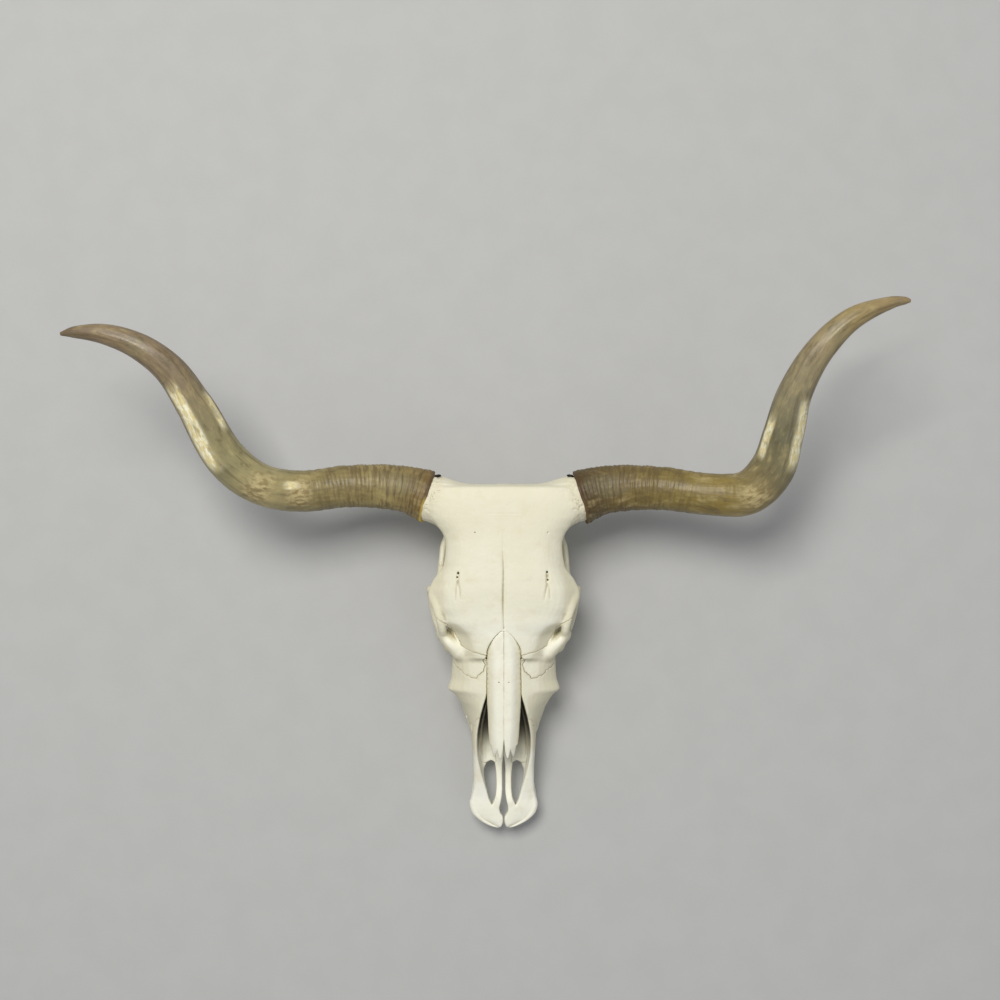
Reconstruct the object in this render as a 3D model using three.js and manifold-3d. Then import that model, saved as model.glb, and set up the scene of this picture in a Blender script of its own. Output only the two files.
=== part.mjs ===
// Longhorn steer skull without its lower jaw, lying face up on its molars and jugular processes.
// Millimetres. +X is the viewer's right, +Y points from the nose to the poll, +Z is up, out of the face.
// Stations along the skull are distances s from the poll towards the nose, so y = -s.
import * as THREE from "three";
import { mergeVertices } from "three/addons/utils/BufferGeometryUtils.js";
import Module from "manifold-3d";

const wasm = await Module();
wasm.setup();

// ---------------------------------------------------------------- driving dimensions
const SUTURE = 0.4; // gap between neighbouring bones
const POLL_TOP = 186; // height of the poll
const MUZZLE_UNDER = 34; // underside of the muzzle
const PALATE_UNDER = 38; // underside of the hard palate
const PALATE_TOP = 45; // floor of the nasal cavity
const ORBIT = { x: 102, s: 193, z: 117, along: 36, up: 31, rim: 6.5, turn: 0.26, lean: 0.12 };
const TOOTH_FRONT = 380; // station of the front of the cheek-tooth row
const TOOTH_HALF_WIDTH = 10.5;
const TEETH = [
  { name: "P2", length: 17, lift: 5 },
  { name: "P3", length: 19, lift: 3 },
  { name: "P4", length: 19, lift: 1.5 },
  { name: "M1", length: 24, lift: 0 },
  { name: "M2", length: 28, lift: 0 },
  { name: "M3", length: 29, lift: 0 },
];
const BOSS_PLANE = { x: 115, s: 16, turn: 0.295 }; // where each horn sheath ends on its bony boss
const SCREW = { x: 99.5, s: -12.5, z: 149, lean: -0.2, shank: 2.2, length: 14, head: 5.5, headHeight: 5 };

// ---------------------------------------------------------------- curves and solids

/** Smooth curve through [station, value] knots that never overshoots them. */
function profile(...knots) {
  const x = knots.map((k) => k[0]);
  const y = knots.map((k) => k[1]);
  const slope = x.slice(1).map((end, i) => (y[i + 1] - y[i]) / (end - x[i]));
  const inner = slope.slice(1).map((next, i) => {
    const product = slope[i] * next;
    return product > 0 ? (2 * product) / (slope[i] + next) : 0;
  });
  const tangent = [slope[0], ...inner, slope.at(-1)];
  return (at) => {
    const c = Math.min(Math.max(at, x[0]), x.at(-1));
    const i = Math.min(Math.max(x.findIndex((v) => v >= c) - 1, 0), slope.length - 1);
    const span = x[i + 1] - x[i];
    const t = (c - x[i]) / span;
    const rise = y[i + 1] - y[i];
    const bend = t * (1 - t) * ((1 - t) * (tangent[i] * span - rise) - t * (tangent[i + 1] * span - rise));
    return y[i] + rise * t + bend;
  };
}

/** Closed surface through rings of equal length, with a flat fan over each end. */
function loft(rings) {
  const sides = rings[0].length;
  const points = rings.flat();
  const index = [];
  for (let r = 0; r + 1 < rings.length; r++) {
    for (let k = 0; k < sides; k++) {
      const a = r * sides + k;
      const b = r * sides + ((k + 1) % sides);
      index.push(a, b, b + sides, a, b + sides, a + sides);
    }
  }
  for (const [ring, turned] of [[0, true], [rings.length - 1, false]]) {
    const centre = points.length;
    points.push(rings[ring].reduce((sum, p) => sum.add(p), new THREE.Vector3()).divideScalar(sides));
    for (let k = 0; k < sides; k++) {
      const a = ring * sides + k;
      const b = ring * sides + ((k + 1) % sides);
      index.push(...(turned ? [centre, b, a] : [centre, a, b]));
    }
  }
  const geometry = new THREE.BufferGeometry().setFromPoints(points);
  return geometry.setIndex(index);
}

/** A closed three.js surface as a solid that can be joined and cut. */
function solid(geometry) {
  const plain = geometry.clone();
  plain.deleteAttribute("normal");
  plain.deleteAttribute("uv");
  const merged = mergeVertices(plain, 1e-4);
  const made = new wasm.Manifold(
    new wasm.Mesh({
      numProp: 3,
      vertProperties: new Float32Array(merged.attributes.position.array),
      triVerts: new Uint32Array(merged.index.array),
    }),
  );
  if (made.volume() >= 0) return made;
  return solid(merged.setIndex([...merged.index.array].reverse()));
}

/** The surface of a solid as plain geometry. */
function surface(made) {
  const { vertProperties, triVerts } = made.getMesh();
  const geometry = new THREE.BufferGeometry();
  geometry.setAttribute("position", new THREE.BufferAttribute(vertProperties, 3));
  return geometry.setIndex(new THREE.BufferAttribute(triVerts, 1));
}

const join = (...solids) => solids.flat().reduce((all, next) => all.add(next));
const mirrored = (one) => solid(surface(one).scale(-1, 1, 1));
const both = (one) => one.add(mirrored(one));

/** A body symmetrical about the midline: outlineAt(s) gives its right half, [x, z] from top to bottom. */
function crossSections(stations, outlineAt) {
  const rings = stations.map((s) => {
    const right = outlineAt(s);
    const left = right.slice(1, -1).reverse().map(([x, z]) => [-x, z]);
    return [...right, ...left].map(([x, z]) => new THREE.Vector3(x, -s, z));
  });
  return solid(loft(rings));
}

/**
 * A rounded bar along a smooth curve. Each row is x, s, z, then its half-width and half-height there,
 * or one radius for both.
 */
function bar(rows, { sides = 8, steps = 10, up = new THREE.Vector3(0, 0, 1) } = {}) {
  const path = new THREE.CatmullRomCurve3(rows.map(([x, s, z]) => new THREE.Vector3(x, -s, z)));
  const at = (column) => profile(...rows.map((row, i) => [i / (rows.length - 1), row[column] ?? row[3]]));
  const width = at(3);
  const height = at(4);
  const rings = Array.from({ length: steps + 1 }, (_, i) => {
    const t = i / steps;
    const centre = path.getPoint(t);
    const along = path.getTangent(t);
    const side = new THREE.Vector3().crossVectors(along, up).normalize();
    const over = new THREE.Vector3().crossVectors(side, along);
    return Array.from({ length: sides }, (_, k) => {
      const turn = (k / sides) * 2 * Math.PI;
      const point = centre.clone().addScaledVector(side, Math.cos(turn) * width(t));
      return point.addScaledVector(over, Math.sin(turn) * height(t));
    });
  });
  return solid(loft(rings));
}

/** An egg-shaped lump or hollow. */
function ellipsoid(x, s, z, rx, rs, rz, segments = 10) {
  const geometry = new THREE.SphereGeometry(1, segments, Math.round(segments * 0.6));
  return solid(geometry.scale(rx, rs, rz).translate(x, -s, z));
}

/** Moves each side of an anticlockwise outline outwards by distance. */
function offset(outline, distance) {
  return outline.map((corner, i) => {
    const before = outline.at(i - 1);
    const after = outline[(i + 1) % outline.length];
    const [n, m] = [[before, corner], [corner, after]].map(([a, b]) => {
      const length = Math.hypot(b[0] - a[0], b[1] - a[1]);
      return [(b[1] - a[1]) / length, -(b[0] - a[0]) / length];
    });
    const scale = distance / (1 + n[0] * m[0] + n[1] * m[1]);
    return [corner[0] + (n[0] + m[0]) * scale, corner[1] + (n[1] + m[1]) * scale];
  });
}

/** An upright block over a plan outline of [x, s] corners, in anticlockwise order seen from above. */
function block(outline, low, high, grow = 0) {
  const corners = offset(outline.map(([x, s]) => [x, -s]), grow);
  const shape = new THREE.Shape(corners.map(([x, y]) => new THREE.Vector2(x, y)));
  const geometry = new THREE.ExtrudeGeometry(shape, { depth: high - low + 2 * grow, bevelEnabled: false });
  return solid(geometry.translate(0, 0, low - grow));
}

/** A hole seen from above, between two smooth edges given as [s, x] points. */
function opening(inner, outer, low, high, points = 8) {
  const edge = (knots) => {
    const corners = knots.map(([s, x]) => new THREE.Vector2(x, -s));
    return new THREE.SplineCurve(corners).getPoints(points);
  };
  const shape = new THREE.Shape([...edge(inner), ...edge(outer).reverse()]);
  const geometry = new THREE.ExtrudeGeometry(shape, { depth: high - low, bevelEnabled: false });
  return solid(geometry.translate(0, 0, low));
}

// ---------------------------------------------------------------- forehead and braincase
const foreheadWidth = profile([0, 97], [10, 101], [30, 106], [47, 107], [60, 100], [73, 91], [88, 87],
  [120, 91], [144, 107], [160, 113], [182, 110], [195, 101], [206, 94], [216, 81], [227, 70], [258, 58]);
const foreheadTop = profile([0, 172], [4, 181], [12, 185], [30, POLL_TOP], [90, 184], [150, 179],
  [200, 168], [225, 160], [258, 151]);
const foreheadEdge = profile([0, 164], [5, 174], [30, 176], [60, 170], [95, 166], [125, 159], [150, 150],
  [185, 147], [205, 146], [230, 136], [258, 132]);
const foreheadUnder = profile([0, 118], [30, 106], [60, 120], [95, 136], [140, 136], [190, 134],
  [258, 110]);

/** The frontal plate: flat on top, with a rounded side and an overhang above each temple. */
function forehead() {
  const outline = (s) => {
    const [w, top, edge, under] = [foreheadWidth(s), foreheadTop(s), foreheadEdge(s), foreheadUnder(s)];
    const fall = top - edge;
    return [
      [0, top], [w * 0.4, top - fall * 0.05], [w * 0.74, top - fall * 0.34], [w * 0.95, edge - 1],
      [w, edge - 8], [w * 0.96, Math.min(under + 7, edge - 14)], [w * 0.78, under], [0, under - 8],
    ];
  };
  const stations = [0, 4, 12, 30, 47, 60, 73, 92, 120, 144, 160, 182, 195, 206, 216, 230, 258];
  return crossSections(stations, outline);
}

/** The right bony base that carries a horn, flaring out of the corner of the forehead. */
function hornBoss() {
  const rows = [[58, 22, 142, 26, 30], [84, 22, 142, 35, 34], [101, 22, 140, 37, 35],
    [113, 16, 138, 32, 33], [124, 9, 137, 28, 31], [136, 5, 136, 26, 30]];
  return bar(rows, { sides: 12, steps: 6 });
}

function braincase() {
  const width = profile([5, 78], [18, 92], [40, 92], [62, 74], [90, 60], [130, 50], [170, 42], [232, 36]);
  const bottom = profile([5, 60], [30, 56], [100, 58], [150, 64], [200, 66], [232, 58]);
  const outline = (s) => {
    const [w, under] = [width(s), bottom(s)];
    return [
      [0, 146], [w * 0.8, 146], [w, 124], [w * 0.98, 96], [w * 0.62, under + 10], [w * 0.3, under],
      [0, under],
    ];
  };
  return crossSections([5, 18, 40, 62, 90, 130, 175, 232], outline);
}

/** The nape: a broad upright plate behind the braincase, widest at the mastoids. */
function nape() {
  const fullness = profile([2, 0.9], [9, 1], [36, 1], [54, 0.9]);
  const outline = (s) => {
    const k = fullness(s);
    return [
      [0, 166], [70 * k, 166], [94 * k, 150], [101 * k, 124], [105 * k, 98], [97 * k, 78], [72 * k, 62],
      [34 * k, 48], [0, 46],
    ];
  };
  return crossSections([2, 9, 36, 54], outline);
}

function foramenMagnum() {
  return solid(new THREE.CylinderGeometry(18, 15, 62, 12).translate(0, -26, 74));
}

/** Condyles, jugular processes, ear capsules and pterygoid plates, under the braincase. */
function skullBase() {
  const condyle = ellipsoid(31, 18, 60, 17, 19, 23);
  const jugularRows = [[64, 36, 84, 15, 13], [69, 40, 54, 13, 9], [68, 42, 24, 9, 6], [62, 40, -4, 6, 4]];
  const jugular = bar(jugularRows, { steps: 5, up: new THREE.Vector3(0, 1, 0) });
  const earCapsule = ellipsoid(46, 74, 50, 10, 15, 24, 8);
  const pterygoidRows = [[20, 118, 60, 3, 8], [24, 150, 48, 3, 17], [27, 190, 48, 3, 17],
    [31, 238, 46, 4, 10]];
  const pterygoid = bar(pterygoidRows, { sides: 6, steps: 5 });
  const keelRows = [[0, 20, 62, 20, 12], [0, 60, 60, 22, 10], [0, 120, 62, 14, 8], [0, 170, 68, 8, 8]];
  return join(both(condyle), both(jugular), both(earCapsule), both(pterygoid), bar(keelRows, { steps: 4 }));
}

// ---------------------------------------------------------------- orbits and cheek arches

/** The right cheek arch, from its root in front of the ear, under the orbit, to the face. */
function cheekArch() {
  const rows = [[50, 82, 92, 15, 12], [76, 77, 93, 13, 11], [90, 88, 92, 6, 9], [95, 112, 93, 5, 8.5],
    [98, 138, 94, 5, 9], [108, 158, 91, 6, 9], [106, 190, 84, 6, 8], [97, 222, 86, 7, 10],
    [84, 248, 88, 9, 12]];
  return bar(rows, { steps: 13 });
}

function orbitRim() {
  const ring = new THREE.TorusGeometry(1, ORBIT.rim / ORBIT.along, 5, 14);
  const upright = ring.scale(ORBIT.along, ORBIT.up, ORBIT.along).rotateX(Math.PI / 2).rotateZ(Math.PI / 2);
  return solid(upright.rotateY(-ORBIT.lean).rotateZ(-ORBIT.turn).translate(ORBIT.x, -ORBIT.s, ORBIT.z));
}

function orbitHollow() {
  return ellipsoid(ORBIT.x + 8, ORBIT.s - 2, ORBIT.z - 1, 62, ORBIT.along - 4, ORBIT.up - 4);
}

/** The thick corner of the lacrimal bone, which ties the front of the orbit's rim to the face. */
function orbitCorner() {
  const rows = [[66, 252, 118, 14, 16], [80, 240, 115, 12, 20], [93, 228, 111, 8, 20],
    [97, 222, 109, 5, 16]];
  return bar(rows, { steps: 4 }).subtract(orbitHollow());
}

// ---------------------------------------------------------------- face
const nasalTop = profile([218, 163], [250, 155], [300, 144], [350, 132], [395, 121], [414, 114]);
const nasalWidth = profile([218, 5], [232, 17], [252, 25], [320, 25.5], [355, 24], [395, 21.5],
  [408, 18.5], [414, 16]);

// The face's section has a shoulder beside the nasal bones, a crest along the cheek and a jaw edge.
const shoulderWidth = profile([198, 40], [250, 27], [318, 29], [337, 34], [360, 39], [400, 44], [440, 43],
  [480, 43], [500, 44], [520, 34], [538, 6]);
const shoulderTop = profile([198, 160], [250, 146], [318, 134], [337, 127], [360, 115], [400, 94],
  [440, 73], [470, 60], [490, 53], [510, 49], [538, 43]);
const crestWidth = profile([198, 66], [215, 84], [236, 88], [255, 79], [295, 81], [312, 86], [321, 76],
  [333, 68], [348, 62], [362, 56], [374, 52], [400, 48.8], [440, 46.8], [472, 47], [487, 51], [499, 53.6],
  [512, 50.5], [524, 40], [533, 25], [538, 11]);
const crestTop = profile([198, 84], [236, 90], [312, 92], [330, 84], [350, 64], [388, 56], [460, 47],
  [538, 40]);
const flankBulge = profile([198, 12], [250, 10], [300, 5], [340, 3], [440, 2], [538, 1]);
const jawWidth = profile([198, 46], [236, 60], [260, 67], [320, 67], [350, 60], [374, 50.5], [440, 45],
  [499, 52], [538, 9]);
const jawUnder = profile([198, 74], [228, 56], [242, 40], [380, PALATE_UNDER], [440, MUZZLE_UNDER],
  [538, MUZZLE_UNDER]);

/** Upper jaw and muzzle, between the two orbits and the tip of the premaxillae. */
function face() {
  const outline = (s) => {
    const [sx, sz] = [shoulderWidth(s), shoulderTop(s)];
    const [cx, cz] = [crestWidth(s), crestTop(s)];
    const [jx, jz] = [jawWidth(s), jawUnder(s)];
    const bulge = flankBulge(s);
    return [
      [0, sz + 3], [sx * 0.6, sz + 1], [sx, sz - 2], [(sx + cx) / 2 + bulge, (sz + cz) / 2 + bulge],
      [cx, cz], [(cx + jx) / 2, (cz + jz) / 2], [jx, jz + 3], [jx * 0.6, jz], [0, jz + 1],
    ];
  };
  const stations = [198, 215, 236, 255, 280, 300, 312, 320, 332, 350, 374, 400, 440, 470, 487, 499, 510,
    520, 529, 535, 538];
  return crossSections(stations, outline);
}

/** The nasal cavity, open above from the notch beside the nasal bones to the muzzle. */
function nasalCavity() {
  const width = profile([286, 16], [320, 26], [337, 32], [356, 36], [385, 40], [415, 41], [435, 39],
    [454, 36], [478, 27], [494, 14]);
  const outline = (s) => {
    const w = width(s);
    const high = s < 316 ? nasalTop(s) - 16 : POLL_TOP;
    const floor = w - 7;
    return [
      [0, high], [w * 0.5, high], [w, high - 2], [w, 92], [(w + floor) / 2, 62], [floor, PALATE_TOP + 2],
      [0, PALATE_TOP],
    ];
  };
  return crossSections([286, 315, 318, 337, 356, 385, 415, 435, 454, 476, 494], outline);
}

/** The passage at the back of the palate, between the pterygoid plates. */
const choana = () => ellipsoid(0, 238, 58, 17, 36, 18);

/** The right one of the two long holes through the front of the palate. */
function fissure() {
  const inner = [[431, 20], [434, 15], [445, 12.5], [475, 12], [488, 13.5], [500, 18.5]];
  const outer = [[431, 20], [434, 26], [443, 31], [460, 30.5], [478, 26.5], [492, 22.5], [500, 18.5]];
  return opening(inner, outer, 20, 90);
}

/** The gap between the premaxillae, widening to an eye-shaped hole near the muzzle's tip. */
function muzzleGap() {
  const edge = [[424, 0.3], [440, 2.6], [478, 2.2], [494, 4.5], [504, 6.8], [512, 5.8], [519, 1.6],
    [526, 1.2], [533, 3.2], [541, 8]];
  return opening(edge.map(([s, x]) => [s, -x]), edge, 20, 90);
}

/** Right nasal bone: a long arched strip whose tip overhangs the nasal opening. */
function nasalBone(grow = 0) {
  const thickness = profile([218, 5], [250, 6], [330, 6], [395, 4.5], [414, 3]);
  const rings = [218, 226, 236, 250, 290, 340, 375, 395, 406, 414].map((s) => {
    const width = nasalWidth(s) + grow;
    const thick = thickness(s) + 2 * grow;
    const inner = SUTURE / 2 + Math.max(0, s - 400) * 0.35 - grow;
    const drop = 13 * Math.min(1, width / 24);
    const arch = (k) => [inner + (width - inner) * k, nasalTop(s) + grow - drop * k ** 2.2];
    const above = [0, 0.4, 0.75, 1].map(arch);
    const below = [1, 0.72, 0.4, 0].map((k) => {
      const [x, z] = arch(k);
      return k === 1 ? [x - 1, z - thick + 2] : [x, z - thick];
    });
    const end = s < 300 ? -grow : grow;
    return [...above, ...below].map(([x, z]) => new THREE.Vector3(x, -s - end, z));
  });
  return solid(loft(rings));
}

/** One upper cheek tooth, flat where it wears. */
function tooth(x, s, length, bottom) {
  const rings = [[PALATE_UNDER + 8, 1.04], [bottom, 0.94]].map(([z, k]) =>
    Array.from({ length: 8 }, (_, i) => {
      const turn = ((i + 0.5) / 8) * 2 * Math.PI;
      const corner = Math.max(Math.abs(Math.cos(turn)), Math.abs(Math.sin(turn)));
      const across = (Math.cos(turn) / corner) * TOOTH_HALF_WIDTH * k;
      const along = (Math.sin(turn) / corner) * (length / 2) * k;
      return new THREE.Vector3(x + across, along - s, z);
    }),
  );
  return solid(loft(rings));
}

/** The right cheek teeth, from P2 at the front to M3 at the back. */
function cheekTeeth() {
  const rowCentre = profile([245, 55], [290, 56.5], [335, 53], [378, 43]);
  let front = TOOTH_FRONT;
  const made = TEETH.map(({ length, lift }) => {
    const s = front - length / 2;
    front -= length + 0.3;
    return tooth(rowCentre(s), s, length + 0.8, lift);
  });
  return join(...made);
}

// ---------------------------------------------------------------- horns and screws
// Centre line and radius of each horn sheath from its base to its tip: x, s, z, radius.
const HORN_LEFT = [[-95, 23, 136, 37.5], [-152, 5.3, 137, 34], [-230, 1, 145, 31], [-306, 9, 163, 30],
  [-359.5, -1.5, 186, 29.5], [-404.5, -37.3, 210, 30], [-445.3, -114.3, 243, 26.5], [-476, -163, 262, 23],
  [-517, -195, 274, 18.8], [-566, -212, 280, 13.8], [-610, -215, 278, 8], [-628, -213, 276, 2.6]];
const HORN_RIGHT = [[95, 25, 136, 39], [152, 7, 137, 35.6], [230, 4, 145, 32], [312, 14, 161, 30.5],
  [361, 11, 177, 32], [393, -22, 196, 32.3], [406, -74, 219, 29], [418, -132, 244, 25.2],
  [448, -190, 266, 20.9], [491, -233, 278, 15.9], [548, -257, 279, 8.8], [568, -260, 277, 5.4],
  [575, -260, 276, 2.6]];

/** Everything outside the plane where the right sheath ends on its boss. */
function sheathRegion(grow = 0) {
  const reach = 600;
  const along = [Math.sin(BOSS_PLANE.turn), Math.cos(BOSS_PLANE.turn)];
  const near = [BOSS_PLANE.x - 90 * along[0], BOSS_PLANE.s - 90 * along[1]];
  const far = [BOSS_PLANE.x + 94 * along[0], BOSS_PLANE.s + 94 * along[1]];
  return block([near, far, [reach + 100, far[1]], [reach + 100, -reach], [near[0], -reach]], 0, 400, grow);
}

function horn(rows, region) {
  return bar(rows, { sides: 12, steps: 23 }).intersect(region);
}

/** Stands a turned piece, made along +Y, where the right screw enters the back of the horn boss. */
const atScrew = (geometry) => solid(geometry.rotateZ(SCREW.lean).translate(SCREW.x, -SCREW.s, SCREW.z));

function screwHole() {
  const radius = SCREW.shank + SUTURE;
  return atScrew(new THREE.CylinderGeometry(radius, radius, 2 * SCREW.length + 2, 8));
}

/** The right one of two black screws, driven into the back edges of the horn bosses. */
function screw() {
  const shank = new THREE.CylinderGeometry(SCREW.shank, SCREW.shank, SCREW.length, 8);
  const head = new THREE.CylinderGeometry(SCREW.head * 0.8, SCREW.head, SCREW.headHeight, 10);
  const sunk = atScrew(shank.translate(0, 1 - SCREW.length / 2, 0));
  return sunk.add(atScrew(head.translate(0, SCREW.headHeight / 2, 0)));
}

// ---------------------------------------------------------------- bones, parted at their sutures

// Plan outlines as x, s corners of the right half, in anticlockwise order seen from above.
const WIDE = 220;
const TALL = 260;
const frontalHalfPlan = [[-1, 236], [25, 258], [60, 246], [81, 216], [104, 203], [135, 203], [135, -60],
  [-1, -60]];
const cornerPlan = [[84, 66], [135, 66], [135, -60], [84, -60]];
const lacrimalPlan = [[25.6, 258.6], [38, 292], [56, 294], [90, 266], [135, 252], [135, 203.5],
  [104.2, 203.5], [81.5, 216.6], [60.4, 246.6]];
const cheekPlan = [[66, 116], [66, 232], [74, 280], [90, 280], [135, 240], [135, 116]];
const cheekPostPlan = [[96, 140], [96, 184], [135, 184], [135, 140]];
const jawPlan = [[0, 234], [0, 600], [WIDE, 600], [WIDE, 234]];
const palatePlan = [[0, 228], [0, 240], [WIDE, 240], [WIDE, 228]];
const pterygoidPlan = [[17, 112], [17, 227.5], [44, 227.5], [44, 112]];
const templePlan = [[62, 57.5], [62, 115.5], [135, 115.5], [135, 57.5]];
const napePlan = [[-WIDE, -60], [-WIDE, 57], [WIDE, 57], [WIDE, -60]];

const frontalRegion = (grow) =>
  both(join(block(frontalHalfPlan, 128, TALL, grow), block(cornerPlan, 92, TALL, grow)));
const cheekRegion = (grow) => join(block(cheekPlan, 56, 106, grow), block(cheekPostPlan, 90, 128, grow));
const lacrimalRegion = (grow) => block(lacrimalPlan, 98, TALL, grow);
const jawRegion = (grow) => join(block(jawPlan, -10, TALL, grow), block(palatePlan, -10, 60, grow));
const pterygoidRegion = (grow) => block(pterygoidPlan, -10, 60, grow);
const templeRegion = (grow) => block(templePlan, 76, 108, grow);
const napeRegion = (grow) => block(napePlan, -10, TALL, grow);

/** The right premaxilla's side of the slanting suture across the muzzle. */
function muzzleRegion(grow) {
  const side = offset([[330, 150], [352, 118], [408, 60], [424, 0], [600, 0], [600, 150]], grow);
  const shape = new THREE.Shape(side.map(([s, z]) => new THREE.Vector2(s, z)));
  const geometry = new THREE.ExtrudeGeometry(shape, { depth: WIDE, bevelEnabled: false });
  const [forward, up, inward] = [[0, -1, 0], [0, 0, 1], [-1, 0, 0]].map((v) => new THREE.Vector3(...v));
  const upright = new THREE.Matrix4().makeBasis(forward, up, inward);
  return solid(geometry.applyMatrix4(upright).translate(WIDE - grow, 0, 0));
}

/** Everything under the ground that the skull lies on, to cut the jugular processes flat. */
const underGround = () => block([[-WIDE, -WIDE], [-WIDE, 600], [WIDE, 600], [WIDE, -WIDE]], -20, 0);

/** The skull in one piece, with all its openings. */
function wholeSkull() {
  const paired = both(join(hornBoss(), cheekTeeth()));
  const bulk = join(forehead(), braincase(), nape(), skullBase(), face(), paired);
  const pairedHollows = both(join(orbitHollow(), fissure()));
  const hollows = join(pairedHollows, nasalCavity(), choana(), foramenMagnum(), muzzleGap());
  const rims = both(join(orbitCorner(), orbitRim(), cheekArch()));
  const fitted = both(join(nasalBone(SUTURE), sheathRegion(SUTURE), screwHole()));
  return bulk.subtract(hollows).add(rims).subtract(fitted).subtract(underGround());
}

/** Each bone by name. Each one is cut from what the bones before it left. */
function bones() {
  const cuts = {
    cheekbone_right: cheekRegion,
    cheekbone_left: (grow) => mirrored(cheekRegion(grow)),
    frontal: frontalRegion,
    lacrimal_right: lacrimalRegion,
    lacrimal_left: (grow) => mirrored(lacrimalRegion(grow)),
    premaxilla_right: muzzleRegion,
    premaxilla_left: (grow) => mirrored(muzzleRegion(grow)),
    maxilla_right: jawRegion,
    maxilla_left: (grow) => mirrored(jawRegion(grow)),
    pterygoid_right: pterygoidRegion,
    pterygoid_left: (grow) => mirrored(pterygoidRegion(grow)),
    temporal_right: templeRegion,
    temporal_left: (grow) => mirrored(templeRegion(grow)),
    occipital: napeRegion,
  };
  const made = {};
  let rest = wholeSkull();
  for (const [name, region] of Object.entries(cuts)) {
    made[name] = rest.intersect(region(0));
    rest = rest.subtract(region(SUTURE));
  }
  return { ...made, braincase: rest, nasal_right: nasalBone(), nasal_left: mirrored(nasalBone()) };
}

// ---------------------------------------------------------------- the skull
const bone = new THREE.MeshStandardMaterial({ color: 0xeae5d0, roughness: 0.75, metalness: 0 });
const keratin = new THREE.MeshStandardMaterial({ color: 0x75634a, roughness: 0.45, metalness: 0 });
const blackSteel = new THREE.MeshStandardMaterial({ color: 0x1d1c1a, roughness: 0.5, metalness: 0.8 });

function meshes(solids, material) {
  return Object.entries(solids).map(([name, made]) => {
    const mesh = new THREE.Mesh(surface(made), material);
    mesh.name = name;
    return mesh;
  });
}

function skull() {
  const horns = {
    horn_left: horn(HORN_LEFT, mirrored(sheathRegion())),
    horn_right: horn(HORN_RIGHT, sheathRegion()),
  };
  const screws = { screw_left: mirrored(screw()), screw_right: screw() };
  const group = new THREE.Group();
  group.add(...meshes(bones(), bone), ...meshes(horns, keratin), ...meshes(screws, blackSteel));

  // The origin is the middle of the footprint, on the ground.
  const bounds = new THREE.Box3().setFromObject(group);
  const middle = bounds.getCenter(new THREE.Vector3());
  group.position.set(-middle.x, -middle.y, -bounds.min.z);
  return group;
}

export default skull();
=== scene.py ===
"""A longhorn steer's skull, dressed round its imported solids.

Blender works in metres, in the row frame. The bones are modelled in millimetres in the skull's own
frame: x is across from the midline, s runs from the poll towards the nose, z is up off the ground.
"""

import math

import bpy
import numpy as np
import openvdb
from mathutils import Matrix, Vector


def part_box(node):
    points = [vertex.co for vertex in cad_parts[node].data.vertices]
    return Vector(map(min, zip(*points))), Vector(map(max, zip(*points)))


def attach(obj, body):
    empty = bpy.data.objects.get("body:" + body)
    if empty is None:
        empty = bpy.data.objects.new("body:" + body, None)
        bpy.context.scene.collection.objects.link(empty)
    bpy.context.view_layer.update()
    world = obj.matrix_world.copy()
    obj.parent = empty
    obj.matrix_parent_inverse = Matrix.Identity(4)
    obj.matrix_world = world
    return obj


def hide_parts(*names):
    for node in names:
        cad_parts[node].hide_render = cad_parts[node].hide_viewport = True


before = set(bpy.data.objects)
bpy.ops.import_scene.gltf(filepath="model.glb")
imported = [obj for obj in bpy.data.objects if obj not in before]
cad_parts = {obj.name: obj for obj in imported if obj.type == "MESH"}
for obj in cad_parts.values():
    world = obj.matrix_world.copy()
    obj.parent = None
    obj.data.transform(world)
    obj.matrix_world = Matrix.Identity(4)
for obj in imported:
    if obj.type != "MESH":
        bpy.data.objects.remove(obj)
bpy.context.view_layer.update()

# ---------------------------------------------------------------- driving dimensions, in millimetres
MM = 0.001
CELL = 1.1  # grid spacing of the modelled bone
FINE_CELL = 0.7  # and of the nasal bones and teeth
REACH = 16  # how far a shape is felt outside itself
FAR = 60.0  # distance given to places that no shape reaches
SUTURE = 0.06  # gap between two bones
NUDGE = 0.0037  # keeps the grid's points off the corners of outlines
POLL_TOP = 186
MUZZLE_UNDER = 34
PALATE_UNDER = 38
PALATE_TOP = 45
NASAL_ROOT = 218
ORBIT = {"x": 102, "s": 193, "z": 117, "along": 36, "up": 31, "rim": 6.3, "turn": 0.26, "lean": 0.12}
BOSS_PLANE = {"x": 115, "s": 16, "turn": 0.295}  # where each horn sheath ends on its bony boss
BOSS_INSIDE = 5  # how far the boss runs on into the sheath
LOWEST = 0.15  # level that the bone stays above

# The skull's midline and poll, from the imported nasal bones, which start NASAL_ROOT from the poll.
MIDLINE_X = (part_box("nasal_left")[0].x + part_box("nasal_right")[1].x) / 2
POLL_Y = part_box("nasal_right")[1].y + NASAL_ROOT * MM


def to_row(points):
    """x, s, z in millimetres as x, y, z in metres in the row frame."""
    points = np.asarray(points, float)
    return points * (MM, -MM, MM) + (MIDLINE_X, POLL_Y, 0)


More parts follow.
